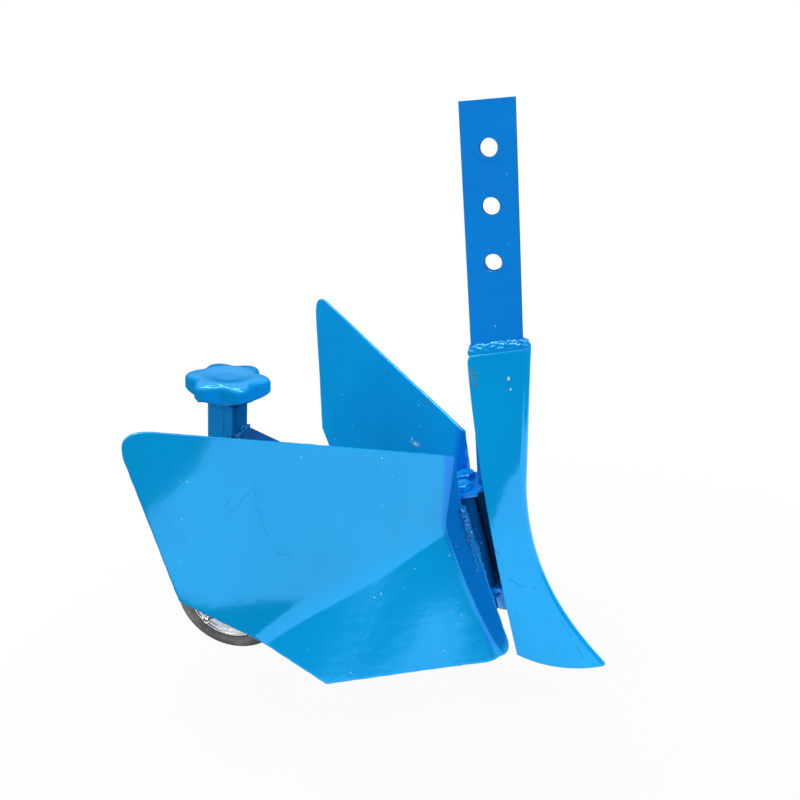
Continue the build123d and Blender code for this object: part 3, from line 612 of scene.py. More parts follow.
def strip_painted_shade(add, place, colour):
    """Painted shade on a front strip: a deeper blue ahead of a bent line that runs from the strip's top
    corner back to the fold corner and forward again down the low fold, fading out above the foot."""
    from_corner = arrow(add, "SUBTRACT", place, tuple(fold_corner * MM * (1, 0, 1)))
    fore = arrow(add, "DOT_PRODUCT", from_corner, tuple(hinge[1][0]))
    rise = arrow(add, "DOT_PRODUCT", from_corner, tuple(hinge[1][2]))
    line = calc(add, "MAXIMUM", *[times(add, rise, slope) for slope in STRIP_SLOPES])
    mask = smooth(add, calc(add, "SUBTRACT", fore, line), -3.0 * MM, 2.0 * MM, 0.0, 0.85)
    above_foot = smooth(add, rise, -136.0 * MM, -118.0 * MM)
    return over(add, times(add, mask, above_foot), colour, STRIP_SHADE_BLUE)


def wing_marks(add, place, colour):
    """The strip's painted shade, a forked scratch and a few short ones in the near wing's paint."""
    colour = strip_painted_shade(add, place, colour)
    runs = [run for path in wing_scratches for run in linked(wing_face(path).tolist())]
    return over(add, times(add, scar(add, place, runs, 0.6), 0.6), colour, DEEP_BLUE)


def far_inside(spots):
    """Straight runs between spots of the wing's view plane, laid on the inner face of the far wing."""
    return linked((wing_face(spots, WING_PLATE) * OTHER_HAND).tolist())


def far_wing_marks(add, place, colour):
    """The strip's painted shade, a pale splash low on the far wing's inner face and a worn chip at its top
    edge.
    """
    colour = strip_painted_shade(add, place, colour)
    broken = smooth(add, noise(add, place, 330.0, 3.0), 0.46, 0.56)
    splash = scar(add, place, far_inside(far_splash), 4.5)
    chip = scar(add, place, far_inside(far_chip), 1.8)
    colour = over(add, times(add, splash, broken), colour, PALE_SPLASH_AND_GLINT)
    return over(add, times(add, chip, broken), colour, BARE_CHIP)


right_enamel = blue_enamel(
    "right_wing_enamel", (0.0006, 0.335, 0.760), (0.0010, 0.360, 0.800), wing_marks,
    dust=0.75, chip=0.5, grime=0.12, peel=0.05, gloss=0.10, flake=0.3,
)
left_enamel = blue_enamel(
    "left_wing_enamel", (0.0006, 0.335, 0.820), (0.0010, 0.360, 0.860), far_wing_marks,
    dust=0.90, chip=0.7, grime=0.12, peel=0.05, gloss=0.10, flake=0.3,
)
near_plate, far_plate = skin(wing_shell(11)), skin(wing_shell(23) * OTHER_HAND)
piece("right_wing_plate", [near_plate], right_enamel, "right_wing", "wing_plate_right", crease=38)
piece("left_wing_plate", [far_plate], left_enamel, "left_wing", "wing_plate_left", crease=38)


# Share
SHARE_TOP, SHARE_TILT = -124.0, radians(6.0)
SHARE_DEPTH = 296.0
SHARE_BEND = -255.0
SHARE_TIP = (94.0, -445.0)
SHARE_PLATE = 3.0
SHARE_SHOULDER = 5.0
NOSE_BEND, NOSE_RISE, NOSE_POWER = 22.0, 7.5, 2.2
NOSE_RADIUS, NOSE_THIN, NOSE_ARC = 8.0, 3.0, 0.26
REAR_TOP, REAR_SWEEP, REAR_POWER = -25.8, 36.5, 1.5
HALF_TOP, HALF_SPREAD = 8.0, 21.8
SOLE_SAG = 8.0


def nose_x(z):
    """Front of the nose: straight above the bend, then forward to the tip by a power of the depth."""
    rise = (z - SHARE_BEND) / (SHARE_TOP - SHARE_BEND)
    run = np.clip((SHARE_BEND - z) / (SHARE_BEND - SHARE_TIP[1]), 0, None)
    reach = SHARE_TIP[0] - NOSE_BEND
    return np.where(z >= SHARE_BEND, NOSE_BEND + NOSE_RISE * rise, NOSE_BEND + reach * run**NOSE_POWER)


def rear_x(z):
    """Rear edge of the flanks: forward by a power of the depth below the top."""
    return REAR_TOP + REAR_SWEEP * (np.clip(SHARE_TOP - z, 0, None) / SHARE_DEPTH) ** REAR_POWER


def share_point(s, z, inset):
    """A point of the V section at a height: from s = 0 at the right rear edge, along the flank, round the
    nose arc and back along the left flank to s = 1, all moved in by inset."""
    fall = np.clip((SHARE_BEND - z) / (SHARE_BEND - SHARE_TIP[1]), 0, None)
    radius = NOSE_RADIUS - NOSE_THIN * fall
    centre = nose_x(z) - radius
    back = centre - rear_x(z)
    half = HALF_TOP + HALF_SPREAD * np.clip(SHARE_TOP - z, 0, None) / SHARE_DEPTH
    turn = pi - np.arctan2(half, back) - np.arccos(np.clip(radius / np.hypot(back, half), -1, 1))
    inner = radius - inset
    start_y = half - inset / np.sin(turn)
    tangent_x, tangent_y = centre + inner * np.cos(turn), inner * np.sin(turn)
    from_nose = np.abs(s - 0.5)
    flank = np.clip((0.5 - from_nose) / (0.5 - NOSE_ARC / 2), 0, 1)
    angle = turn * np.clip(from_nose / (NOSE_ARC / 2), 0, 1)
    on_arc = from_nose < NOSE_ARC / 2
    x = np.where(on_arc, centre + inner * np.cos(angle), rear_x(z) + (tangent_x - rear_x(z)) * flank)
    y = np.where(on_arc, inner * np.sin(angle), start_y + (tangent_y - start_y) * flank)
    return np.stack([x, np.sign(s - 0.5) * y, z + 0 * x], -1)


def sole_z(x):
    """Height of the sole under a distance forward: the arc through the heel, a sagging middle and the
    tip."""
    heel = np.array([rear_x(SHARE_TOP - SHARE_DEPTH), SHARE_TOP - SHARE_DEPTH])
    tip = np.array(SHARE_TIP)
    middle = (heel + tip) / 2 - np.array([0, SOLE_SAG])
    left = np.array([heel - middle, tip - middle])
    right = np.array([heel @ heel - middle @ middle, tip @ tip - middle @ middle]) / 2
    centre = np.linalg.solve(left, right)
    radius = np.linalg.norm(heel - centre)
    return centre[1] - np.sqrt(np.clip(radius**2 - (x - centre[0]) ** 2, 0, None))


def share_sheet(s, down, inset, shrink):
    """One face of the share plate: for each place round the V, a run down from the tilted top cut, with
    its rear corners rounded off, to the sole, the end heights solved by stepping them until they lie on
    the cuts."""
    top = np.full_like(s, SHARE_TOP)
    low = np.full_like(s, -430.0)
    for _ in range(40):
        x = share_point(s, top, inset)[:, 0]
        short = np.clip(SHARE_SHOULDER - (x - rear_x(top)), 0, SHARE_SHOULDER)
        corner = SHARE_SHOULDER - np.sqrt(SHARE_SHOULDER**2 - short**2)
        top = SHARE_TOP + np.tan(SHARE_TILT) * x - shrink - corner
        low = 0.5 * low + 0.5 * (sole_z(share_point(s, low, inset)[:, 0]) + shrink)
    z = top[None] + (low - top)[None] * down[:, None]
    return share_point(np.broadcast_to(s, z.shape), z, inset)


def share_rows():
    """The share as one closed plate: down the outside, round the sole and up the inside."""
    s = np.linspace(0, 1, 121)
    s = 0.5 + 0.5 * np.sign(s - 0.5) * np.abs(2 * s - 1) ** 0.8
    down = np.linspace(0, 1, 150)
    outside, inside = share_sheet(s, down, 0.0, 0.9), share_sheet(s, down, SHARE_PLATE, 0.9)
    lips = [share_sheet(s, down, inset, shrink) for inset, shrink in ((0.4, 0.25), (1.5, 0.0), (2.6, 0.25))]
    ends = [lip[-1:] for lip in lips]
    starts = [lip[:1] for lip in reversed(lips)]
    return np.concatenate([outside, *ends, inside[::-1], *starts])


# Scratches; the last run is the painted shadow beside a spatter drop
share_scratches_and_shadow = (
    [(-8, -309), (-3, -318)], [(20, -329), (24, -333)], [(5, -342), (16, -353)], [(26, -355), (29, -357)],
    [(10, -377), (12, -382)], [(53, -396), (61, -411)], [(66, -422), (73, -434)], [(40, -422), (46, -423)],
    [(-4, -333), (-3, -341)], [(2, -370), (3, -374)], [(10, -148), (11, -156)],
)
# Painted glints: two pale dots beside the same spatter drop
share_painted_glints = ([(10, -147), (10, -149)], [(11, -157), (11, -158)])
shoulder_rub = ([(-22, -141), (-19, -153)],)


def near_flank(runs):
    """Runs between side-view spots (forward, up) laid on the near flank: at each height, the point that
    lies as far forward on the straight line from the rear edge to where the nose arc starts."""
    x, z = np.moveaxis(np.asarray(runs, float), -1, 0)
    rear = share_point(0 * x, z, 0.0)
    front = share_point(0 * x + 0.5 - NOSE_ARC / 2, z, 0.0)
    part = (x - rear[..., 0]) / (front[..., 0] - rear[..., 0])
    return rear + (front - rear) * part[..., None]


def share_marks(add, place, colour):
    """Short scratches on the near flank, the last of them a painted shadow beside a spatter drop, two pale
    painted glints by that drop, and a rub on its shoulder where the paint has worn through."""
    scratch_and_shadow_mask = times(add, scar(add, place, near_flank(share_scratches_and_shadow), 0.65), 0.75)
    colour = over(add, scratch_and_shadow_mask, colour, DEEP_BLUE)
    colour = over(add, scar(add, place, near_flank(share_painted_glints), 1.0), colour, PALE_SPLASH_AND_GLINT)
    worn = smooth(add, noise(add, place, 480.0, 3.0), 0.46, 0.56)
    rubbed = scar(add, place, near_flank(shoulder_rub), 2.4)
    return over(add, times(add, rubbed, worn), colour, BARE_CHIP)


share_enamel = blue_enamel(
    "share_enamel", (0.0006, 0.350, 0.815), (0.0010, 0.380, 0.855), share_marks,
    dust=0.18, chip=0.8, grime=0.10, peel=0.05, gloss=0.10, flake=0.3,
)
piece("share_blade", [skin(share_rows().transpose(1, 0, 2))], share_enamel, "frame", "share", crease=50)


# Knob
KNOB_FOOT, KNOB_TOP = 4.4, 30.9
KNOB_TURN = radians(-18.0)
KNOB_NECK, KNOB_LIP = 18.2, 1.3
KNOB_EDGE, KNOB_SOFT = 6.5, 4.0
KNOB_DROOP = 0.6
KNOB_DISH, DISH_OUT, DISH_IN = 1.3, 26.0, 8.0
KNOB_LOBE, KNOB_VALLEY, KNOB_FLARE = 41.0, 32.0, 2.3
KNOB_DRIPS = ((-108.0, 0.05, 2.4), (-66.0, 0.04, 0.9), (-20.0, 0.05, 0.7), (95.0, 0.05, 1.2))
KNOB_RUNS = ((-52.0, 0.030, 0.55), (-44.0, 0.035, 0.70))


def bumps_round(turn, spots):
    """Bell curves round an angle, each at a place with a width and a height."""
    return sum(h * np.exp(-(((turn - radians(a) + pi) % (2 * pi) - pi) / w) ** 2) for a, w, h in spots)


def knob_shell():
    """The star knob: a cone that flares from a round foot until it meets an outline of six cosine lobes,
    by the smooth least of the two radii, then a full upper edge and a round dish in the middle; paint has
    run down its side and hangs in drops from its lower edge."""
    turn = around(300)
    lobe = 0.5 - 0.5 * np.cos(6 * (turn - KNOB_TURN))
    star = KNOB_VALLEY + (KNOB_LOBE - KNOB_VALLEY) * lobe**0.9 + 0.3 * lumps(300, 1, 9, 5)[:, 0]
    drip, run = bumps_round(turn, KNOB_DRIPS), bumps_round(turn, KNOB_RUNS)
    shoulder, start = KNOB_TOP - KNOB_EDGE, KNOB_FOOT + KNOB_LIP
    rings = [(6.3, KNOB_FOOT), (16.8, KNOB_FOOT), (17.8, KNOB_FOOT + 0.4), (KNOB_NECK, start)]
    for t in np.linspace(0.06, 1, 16):
        cone = KNOB_NECK + KNOB_FLARE * (shoulder - start) * t
        gap = np.clip(KNOB_SOFT - np.abs(cone - star), 0, None)
        edge = np.minimum(cone, star) - gap**2 / (4 * KNOB_SOFT)
        hang = np.clip(1 - np.abs(cone - star - 2.0) / 9.0, 0, 1)
        level = start + (shoulder - start) * t
        rings.append((edge + run * np.clip(3 * t - 1.6, 0, 1), level - drip * hang))
    rim = star - KNOB_EDGE
    for a in np.linspace(0.1, 1, 9) * pi / 2:
        level = shoulder + KNOB_EDGE * np.sin(a) - KNOB_DROOP * lobe * np.sin(a)
        rings.append((rim + KNOB_EDGE * np.cos(a), level))
    for t in np.linspace(0.15, 1, 6):
        rings.append((rim + (DISH_OUT - rim) * t, KNOB_TOP - KNOB_DROOP * lobe * (1 - t)))
    for t in np.linspace(0.08, 1, 12):
        rings.append((DISH_OUT - (DISH_OUT - DISH_IN) * t, KNOB_TOP - KNOB_DISH * (3 * t**2 - 2 * t**3)))
    for t in (0.4, 0.8, 0.97):
        rings.append((DISH_IN * (1 - t), KNOB_TOP - KNOB_DISH))
    return skin(star_rows(rings, turn, post))


piece("star_knob", [knob_shell()], knob_enamel, "knob_set", "knob", crease=60)


# Wheel
def tyre_profile():
    """Half the tyre's section as (radius, height) from the rim out: bead lip, side wall with a moulded
    ring and a groove, a round shoulder and a flat tread with a shallow groove each side of its middle."""
    side = [
        (44.0, 0.0), (44.0, 11.0), (46.9, 11.0), (46.9, 12.9), (47.6, 13.4), (48.6, 13.6), (49.0, 13.2),
        (49.6, 13.2), (50.0, 13.9), (50.8, 14.4),
    ]
    a = np.linspace(0.05, 0.98, 14) * pi / 2
    shoulder = np.stack([50.8 + 11.7 * np.sin(a), 3.0 + 11.6 * np.cos(a) ** 0.85], -1)
    tread = [(62.5, 2.6), (62.4, 2.2), (61.6, 1.9), (61.6, 1.1), (62.4, 0.8), (62.5, 0.0)]
    return np.concatenate([side, shoulder, tread])


near_half = tyre_profile()
section = np.concatenate([near_half[1:], near_half[::-1][1:] * np.array([1, -1]), near_half[1:2]])
tyre = [turned(section, wheel_axle, 160)]
piece("solid_tyre", tyre, tyre_rubber, "wheel", "tyre", crease=40, slot="tyre_rubber")

RIM_FACE, RIM_SHEET = 12.6, 1.6
STUD_RING, STUD_TURN = 36.5, 42.0
STUD, STUD_PITCH, STUD_LENGTH = 5.0, 0.8, 31.0
STUD_FLATS, STUD_HEAD, STUD_NUT, STUD_BORE = 8.0, 3.5, 4.0, 5.2


def rim_profile():
    """The pressed rim disc's section: rolled bead, two stepped rings and a flat web down to the hub."""
    face = [
        (10.0, 12.6), (26.0, 12.6), (27.5, 13.2), (34.0, 13.2), (36.0, 12.6), (38.4, 12.6), (39.2, 13.6),
        (40.4, 13.7), (41.2, 12.8), (42.2, 12.9), (42.9, 13.9), (43.6, 14.15), (44.4, 14.1), (45.2, 13.5),
        (45.9, 12.8), (46.4, 12.6),
    ]
    back = [(r, h - RIM_SHEET) for r, h in reversed(face)]
    return np.array(face + back + face[:1])


for hand, where in (("right", wheel_axle), ("left", far_side)):
    rim, node = turned(rim_profile(), where, 144), "rim_disc_" + hand
    piece("rim_pressing_" + hand, [rim], zinc_plate, "wheel", node, crease=25, slot="zinc_steel")

studs, nuts = [], []
nut_dome = [(3.7, 3.9), (3.75, 6.2), (3.5, 7.4), (2.9, 8.3), (1.9, 8.8), (0.3, 9.0)]
for k in range(4):
    spot = radians(STUD_TURN + 90.0 * k)
    x, y = STUD_RING * cos(spot), STUD_RING * sin(spot)
    near_seat, far_seat = moved(wheel_axle, (x, y, RIM_FACE)), moved(far_side, (x, y, RIM_FACE))
    studs.append(six_sided(far_seat, STUD_FLATS, STUD_HEAD))
    studs.append(threaded(moved(wheel_axle, (x, y, -RIM_FACE)), STUD, STUD_LENGTH, STUD_PITCH))
    nuts.append(six_sided(near_seat, STUD_FLATS, STUD_NUT, STUD_BORE))
    nuts.append(turned(nut_dome, near_seat, 40))
piece("rim_studs", studs, zinc_plate, "wheel", "rim_bolts", slot="zinc_steel")
piece("rim_stud_nuts", nuts, zinc_plate, "wheel", "rim_nuts", slot="zinc_steel")


# Pivot and axle hardware
BOLT, BOLT_PITCH, BOLT_FLATS, BOLT_HEAD = 10.0, 1.5, 17.0, 6.4
NUT_HEIGHT, NUT_BORE = 8.4, 10.2
PIVOT_NUT_SEAT, AXLE_NUT_SEAT = -54.5, 31.0
UPSIDE_DOWN = np.array([[1.0, 0, 0], [0, -1.0, 0], [0, 0, -1.0]])
washer_section = [(5.2, 0), (9.6, 0), (10.0, 0.4), (10.0, 1.6), (9.6, 2.0), (5.2, 2.0), (5.2, 0)]


def bolt(where, seat, stem, thread):
    """A bolt along a frame's third axis: a hexagon head on its seat, a plain stem and a threaded end, the
    last two each from a start over a length."""
    head = six_sided(moved(where, (0, 0, seat)), BOLT_FLATS, BOLT_HEAD)
    plain = rod(moved(where, (0, 0, stem[0])), BOLT, stem[1])
    end = threaded(moved(where, (0, 0, thread[0])), BOLT, thread[1], BOLT_PITCH)
    return [head, plain, end]


for hand, side in HANDS:
    pivot = moved(hinge, (0, side * PIVOT_OUT, 0))
    screw = bolt(pivot, 52.5, (-50.0, 102.6), (-76.9, 27.0))
    piece("pivot_screw_" + hand, screw, bolt_enamel, "frame", "pivot_bolt_" + hand)
    seat = moved(pivot, (0, 0, PIVOT_NUT_SEAT))
    nut = six_sided((seat[0], UPSIDE_DOWN @ hinge[1]), BOLT_FLATS, NUT_HEIGHT, NUT_BORE)
    piece("pivot_hex_" + hand, [nut], bolt_enamel, "frame", "pivot_nut_" + hand)
    washer = turned(washer_section, seat, 64)
    piece("pivot_ring_" + hand, [washer], bolt_enamel, "frame", "pivot_washer_" + hand)

axle_screw = bolt(wheel_axle, 29.0, (-31.0, 60.4), (-46.4, 18.0))
piece("axle_screw", axle_screw, bolt_enamel, "wheel_carrier", "axle_bolt")
axle_hex = six_sided(moved(far_side, (0, 0, AXLE_NUT_SEAT)), BOLT_FLATS, NUT_HEIGHT, NUT_BORE)
piece("axle_hex", [axle_hex], bolt_enamel, "wheel_carrier", "axle_nut")


# Welds
NECK_INNER = [(22.4, -4.9), (22.4, 4.9), (-22.4, 4.9), (-22.4, -4.9)]
NECK_OUTER = [(29.3, -7.9), (29.3, 7.9), (-25.4, 7.9), (-25.4, -7.9)]
NECK_HIGH, NECK_UNDER = 8.4, -0.9
NECK_MIDDLE = 1.85


def neck_fillet():
    """The thick weld round the shank on the share's top: a quarter-round section between a line round the
    shank and the share's outer edge on the tilted top cut, lumpy and rippled, and closed underneath."""
    across, steps = 420, 17
    turn = around(across)
    inner = rounded_outline(NECK_INNER, (0.8,) * 4, across)
    outer = rounded_outline(NECK_OUTER, (7.0, 7.0, 2.5, 2.5), across)
    spread = (outer - inner) / (np.linalg.norm(outer - inner, axis=1)[:, None] + 0.5)
    high = NECK_HIGH + 0.8 * lumps(across, 1, 9, 3)[:, 0] + 0.6 * lumps(across, 1, 34, 31)[:, 0]
    rough = 0.9 * lumps(across, steps, 13, 8).T + 0.25 * lumps(across, steps, 40, 9).T
    rows = []
    for k, v in enumerate(np.linspace(0, 1, steps)):
        out = 0.1 * v + 0.9 * np.sin(v * pi / 2)
        up = 0.1 * (1 - v) + 0.9 * np.cos(v * pi / 2)
        lump = (rough[k] + 0.12 * np.sin(turn * 34 + 2.5 * v)) * np.sin(pi * v)
        plan = inner + (outer - inner) * out + spread * lump[:, None] * 0.8
        rows.append(np.column_stack([plan, high * up + 0.7 * lump]))
    under = np.full(across, NECK_UNDER)
    rows.append(np.column_stack([NECK_MIDDLE + (outer - NECK_MIDDLE) * 0.95, under]))
    rows.append(np.column_stack([inner * 0.97, under]))
    rows = np.stack(rows)
    rows[..., 2] += SHARE_TOP + np.tan(SHARE_TILT) * rows[..., 0]
    return skin(rows, ring=True)


piece("shank_bead", [neck_fillet()], neck_enamel, "frame", "shank_weld", crease=BEAD_EDGE)


def spatter(side, count, seed):
    """Small drops of weld metal thrown onto the wing's front strip: balls of random size sunk half into
    it."""
    draw = np.random.default_rng(seed)
    spots = np.stack([draw.uniform(-24, -4, count), draw.uniform(-62, 4, count)], -1)
    spots[:, 0] -= 0.16 * (spots[:, 1] + 30)
    centres = wing_face(spots, 0.1) * np.array([1, -side, 1])
    sizes = draw.uniform(0.35, 0.5, count) + 0.6 * draw.uniform(0, 1, count) ** 3
    level = np.linspace(0.1, pi - 0.1, 7)
    ball = np.stack([np.sin(level), -np.cos(level)], -1)
    return [turned(size * ball, (centre, np.eye(3)), 9) for centre, size in zip(centres, sizes)]


STRAP_REACH = (108.0, 132.0)
STRAP_LEVELS = {"right": (-9.2, -14.8), "left": (-9.2, -19.3)}


def strap_foot(level, side):
    """The line where a strap meets the inside of its wing: on each radius about the pivot, the angle at
    which the plate's inner face lies nearest."""
    radius = np.linspace(*STRAP_REACH, 14)[:, None]
    swing = np.radians(np.linspace(10, 80, 700))[None, :]
    back, out = -radius * np.cos(swing), -PIVOT_OUT - radius * np.sin(swing)
    spots = placed(np.stack([back, out, level + 0 * back], -1), hinge)
    view = (spots - fold_corner) @ wing_axes.T
    nearest = np.abs(view[..., 2] - fold_depth(view[..., :2], WING_PLATE)).argmin(1)
    return spots[np.arange(len(radius)), nearest] * np.array([1, -side, 1])


# Each run of weld on a sleeve: how far out and forward of the pivot, its upper and lower end, and its size
SLEEVE_RUNS = (
    (11.2, -0.9, 42, -43, 3.0), (13.8, -0.1, 43, -18, 2.9), (16.2, 0.2, 41, -40, 2.6),
    (9.6, 0.9, 36, -42, 2.3), (21.6, 0.9, 44, -43, 2.6), (19.2, 1.5, 41, -44, 2.5),
)
sleeve_section = [(5.1, -48), (8.9, -48), (9.5, -47.4), (9.5, 47.4), (8.9, 48), (5.1, 48), (5.1, -48)]
for hand, side in HANDS:
    pivot, wing = moved(hinge, (0, side * PIVOT_OUT, 0)), hand + "_wing"
    sleeve = turned(sleeve_section, pivot, 72)
    piece("pivot_sleeve_" + hand, [sleeve], painted_shade_enamel, wing, "hinge_sleeve_" + hand)
    runs = []
    for k, (out, fore, high, low, size) in enumerate(SLEEVE_RUNS):
        bulge, tuck = side * (out + 0.6), side * (out - 0.4)
        path = [(fore - 1.0, side * out, high), (fore - 0.4, bulge, 6), (fore + 1.2, tuck, low)]
        seed = 40 + 7 * k + side
        runs.append(bead(placed(path, pivot), size, seed, (0, 1, 0), rough=0.42, flat=0.9, ripple=3.0))
    runs += spatter(side, 42, 60 + side)
    piece("sleeve_bead_" + hand, runs, weld_enamel, wing, "sleeve_weld_" + hand, crease=BEAD_EDGE)
    feet = [bead(strap_foot(level, side), 2.0, 80 + k) for k, level in enumerate(STRAP_LEVELS[hand])]
    piece("strap_bead_" + hand, feet, weld_enamel, wing, crease=BEAD_EDGE)

BEAM_RISE = tan(radians(17.2))
BEAM_UNDER = -52.2
BOSS_BACK, BOSS_RADIUS = -119.4, 13.2


def boss_ring():
    """Where the round boss meets the beam: on each line of its side, the height that lies on the beam's
    underside, which falls away from the post by the beam's rise."""
    turn = np.linspace(0, 2 * pi, 60)
    low = placed(polar(BOSS_RADIUS, turn, 0.0) + (BOSS_BACK, 0, 0), hinge)
    foot, axes = post
    start = (low - foot) @ axes.T
    step = axes @ hinge[1][2]
    rise = (BEAM_UNDER - BEAM_RISE * start[:, 0] - start[:, 2]) / (step[2] + BEAM_RISE * step[0])
    return low + rise[:, None] * hinge[1][2]


hook_turn = np.radians(np.linspace(215, -40, 24))
gusset_edges = (
    [(8.8, -15.8, -23.0), (8.8, -15.8, -65.0)],
    [(21.3, -15.8, -27.8), (56.5, -15.8, -61.5)],
    [(56.0, -15.8, -62.6), (16.0, -15.8, -65.2)],
    [(15.7, -14.0, -25.2), (15.7, 15.2, -25.2), (15.7, 15.2, -57.0), (15.7, -14.0, -57.0)],
    np.stack([0 * hook_turn + 15.9, 3.4 * np.cos(hook_turn) - 2.0, 3.4 * np.sin(hook_turn) - 23.0], -1),
)
frame_runs = [bead(placed(path, post), 1.7, 100 + k, (0.3, 1, 0.2)) for k, path in enumerate(gusset_edges)]
frame_runs.append(bead(boss_ring(), 2.2, 110, hinge[1][2]))
for k, (y, z) in enumerate(((5.6, 47.8), (-5.6, 47.8), (5.6, -47.8), (-5.6, -47.8))):
    frame_runs.append(bead(placed([(-44.0, y, z), (-16.0, y, z)], hinge), 2.3, 115 + k))
piece("frame_beads", frame_runs, weld_enamel, "frame", crease=BEAD_EDGE)

CROWN_TOP = -137.4
LEG_OUT, LEG_TOP = 24.4, -144.5
tube_loop = [(0.0, -13.0), (-13.0, -13.0), (-13.0, 13.0), (13.0, 13.0), (13.0, -13.0), (0.5, -13.0)]
fork_runs = [bead(placed(np.insert(tube_loop, 2, CROWN_TOP, 1), post), 1.9, 130)]
for k, y in enumerate((LEG_OUT, -LEG_OUT)):
    fork_runs.append(bead(placed([(-2.0, y, LEG_TOP), (19.0, y, LEG_TOP)], post), 1.7, 131 + k, (0, 1, 0)))
piece("fork_beads", fork_runs, weld_enamel, "wheel_carrier", crease=BEAD_EDGE)


# Flat and tubular pieces
for width, finish, body, nodes in (
    (0.9, bar_enamel, "frame", ("shank",)),
    (0.5, bar_enamel, "frame", ("upper_hinge_plate", "lower_hinge_plate", "hinge_web")),
    (0.5, painted_shade_enamel, "frame", ("hinge_rib",)),
    (0.4, painted_shade_enamel, "frame", ("beam",)),
    (0.5, tube_enamel, "frame", ("beam_tongue",)),
    (0.4, post_enamel, "frame", ("post_gusset",)),
    (0.3, post_enamel, "frame", ("post_tube",)),
    (0.2, post_enamel, "frame", ("post_cap",)),
    (0.5, tube_enamel, "frame", ("clamp_boss",)),
    (0.5, bar_enamel, "right_wing", ("adjuster_strap_right",)),
    (0.5, bar_enamel, "left_wing", ("adjuster_strap_left",)),
    (0.3, tube_enamel, "wheel_carrier", ("slide_tube",)),
    (0.5, tube_enamel, "wheel_carrier", ("fork_crown", "fork_leg_right", "fork_leg_left")),
):
    for node in nodes:
        eased(node, width, finish, body)

for finish, nodes in (
    (bolt_enamel, ("clamp_washer", "clamp_bolt", "axle_washer")),
    (bare_steel, ("axle_spacers", "lead_screw", "screw_collar", "collar_pin", "screw_nut")),
    (zinc_plate, ("rim_band", "hub_tube")),
    (bush_nylon, ("hub_bushes",)),
):
    for node in nodes:
        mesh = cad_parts[node].data
        mesh.materials.clear()
        mesh.materials.append(finish)


# Floor, light and camera
FLOOR_Z = -482.0
HEM_Z = -449.0
HEM_CORNERS = [
    (0.10, -0.41), (0.56, -0.56), (0.56, 1.0), (-0.05, 1.0), (-0.05, -0.03), (-0.75, -0.03),
    (-0.75, -0.13), (-0.07, -0.125), (-0.02, -0.07), (-0.155, -0.41),
]
HEM_MIDDLE = (-0.01, -0.05)
DRAPE_REACH, DRAPE_HEIGHT = 2.5, 2.0


def seen_directly(add):
    """One for rays that show the background itself: from the camera, off gloss and through glass."""
    light = add("ShaderNodeLightPath").outputs
    two = calc(add, "MAXIMUM", light["Is Camera Ray"], light["Is Glossy Ray"])
    return calc(add, "MAXIMUM", two, light["Is Transmission Ray"])


def stage_piece(name, rows, made):
    """A surface of the set over rows of points in metres, with its material."""
    points, blocks = skin(rows, ends=False)
    mesh = bpy.data.meshes.new(name)
    mesh.from_pydata(points.tolist(), [], blocks[0].tolist())
    mesh.materials.append(made)
    thing = bpy.data.objects.new(name, mesh)
    bpy.context.collection.objects.link(thing)
    return thing


def stage_floor():
    """A wide round floor under the lowest point that the wheel comes down to, pale and matt, shown as
    white with the object's soft shadow near it and as plain white further out."""
    made = bpy.data.materials.new("pale_floor")
    add = node_tree(made)
    place = add("ShaderNodeTexCoord").outputs["Object"]
    matt = add("ShaderNodeBsdfDiffuse", ("Color", (0.40, 0.40, 0.40, 1))).outputs[0]
    white = add("ShaderNodeEmission", ("Strength", 1.0)).outputs[0]
    shade = smooth(add, arrow(add, "LENGTH", place, place), 0.45, 0.9, 0.93, 1.0)
    pale = add("ShaderNodeMixShader", (0, shade), (1, matt), (2, white)).outputs[0]
    shown = add("ShaderNodeMixShader", (0, seen_directly(add)), (1, matt), (2, pale))
    add("ShaderNodeOutputMaterial", (0, shown.outputs[0]))
    radius = np.array([1e-6, 0.5, 2.0, 9.0])[:, None]
    stage_piece("floor", polar(radius, around(96), FLOOR_Z * MM), made)


def dark_drape():
    """A dark cloth with an opening under the object, out level from its hem and up at its far edge, where
    it grows paler with height; only gloss shows it, as the dim room that bright enamel mirrors."""
    made = bpy.data.materials.new("dark_cloth")
    add = node_tree(made)
    high = add("ShaderNodeSeparateXYZ", (0, add("ShaderNodeTexCoord").outputs["Object"])).outputs[2]
    cloth = add("ShaderNodeEmission", ("Strength", smooth(add, high, 0.3, 1.5, 0.02, 0.8)))
    add("ShaderNodeOutputMaterial", (0, cloth.outputs[0]))
    corners = np.insert(np.array(HEM_CORNERS + HEM_CORNERS[:1]), 2, HEM_Z * MM, 1)
    hem = along(corners, 0.02)[0][:-1]
    middle = np.array([*HEM_MIDDLE, hem[0, 2]])
    out = middle + unit(hem - middle) * DRAPE_REACH
    drape = stage_piece("dark_drape", np.stack([hem, out, out + np.array([0, 0, DRAPE_HEIGHT])]), made)
    drape.visible_camera = False
    drape.visible_diffuse = False
    drape.visible_transmission = False
    drape.visible_shadow = False


stage_floor()
dark_drape()


def facing(place, back, roll=0.0):
    """A place with axes that look against a back direction, level but for a roll."""
    back = unit(np.asarray(back, float))
    right = unit(np.cross((0, 0, 1.0), back))
    up = np.cross(back, right)
    turn = np.eye(4)
    rolled_right, rolled_up = cos(roll) * right + sin(roll) * up, cos(roll) * up - sin(roll) * right
    turn[:3, :3] = np.stack([rolled_right, rolled_up, back], -1)
    turn[:3, 3] = place
    return Matrix(turn.tolist())


def soft_light(name, place, aim, wide, high, watts):
    """A soft light of a width and height at a place that faces an aim point, in metres."""
    lamp = bpy.data.lights.new(name, "AREA")
    lamp.shape = "RECTANGLE"
    lamp.size = wide
    lamp.size_y = high
    lamp.energy = watts
    holder = bpy.data.objects.new(name, lamp)
    holder.matrix_world = facing(place, np.subtract(place, aim))
    bpy.context.collection.objects.link(holder)
    return holder


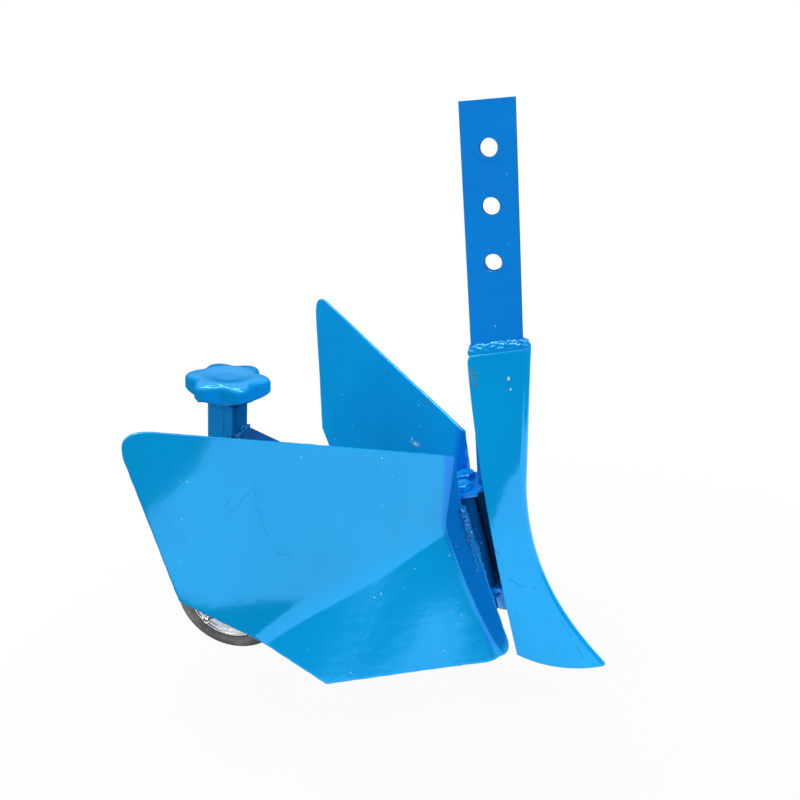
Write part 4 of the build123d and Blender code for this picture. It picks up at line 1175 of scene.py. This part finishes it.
# Places and aims of the lights are in metres; gloss alone shows the last one
soft_light("key_light", (1.1, -0.5, 1.3), (-0.05, 0.0, -0.25), wide=0.6, high=0.6, watts=9.0)
soft_light("top_light", (-0.3, 0.5, 1.5), (-0.1, 0.0, -0.25), wide=0.6, high=0.6, watts=11.0)
sheen_light = soft_light(
    "sheen_light", (-0.2, -0.45, 1.55), (-0.1, 0.0, -0.25), wide=2.2, high=0.3, watts=37.0
)
sheen_light.visible_diffuse = False


def studio_world():
    """A pale room, white where it is seen: its light on the object is a sky that brightens with height,
    with more from ahead and behind and a little from the right."""
    world = bpy.data.worlds.new("studio")
    bpy.context.scene.world = world
    add = node_tree(world)
    x, y, z = add("ShaderNodeSeparateXYZ", (0, add("ShaderNodeTexCoord").outputs["Generated"])).outputs
    level = smooth(add, z, -0.1, 0.9, 0.30, 0.48)
    for side, low, high, more in ((x, 0.0, 1.0, 1.7), (x, 0.0, -1.0, 2.0), (y, 0.0, -1.0, 0.45)):
        level = calc(add, "ADD", level, smooth(add, side, low, high, 0.0, more))
    room = add("ShaderNodeBackground", ("Color", (1, 1, 1, 1)), ("Strength", level))
    white = add("ShaderNodeBackground", ("Color", (1, 1, 1, 1)), ("Strength", 1.0))
    seen = add("ShaderNodeMixShader", (0, seen_directly(add)), (1, room.outputs[0]), (2, white.outputs[0]))
    add("ShaderNodeOutputWorld", (0, seen.outputs[0]))


studio_world()

CAMERA_PLACE = np.array([78.9, -685.6, 71.1])
CAMERA_AROUND, CAMERA_ABOVE, CAMERA_ROLL = radians(13.95), radians(18.87), radians(-4.73)
view = bpy.data.cameras.new("camera")
view.sensor_width = 36.0
view.lens = 36.41
camera = bpy.data.objects.new("camera", view)
bpy.context.collection.objects.link(camera)
level = cos(CAMERA_ABOVE)
back = (sin(CAMERA_AROUND) * level, -cos(CAMERA_AROUND) * level, sin(CAMERA_ABOVE))
camera.matrix_world = facing(CAMERA_PLACE * MM, back, CAMERA_ROLL)
bpy.context.scene.camera = camera
bpy.context.scene.view_settings.view_transform = "Standard"
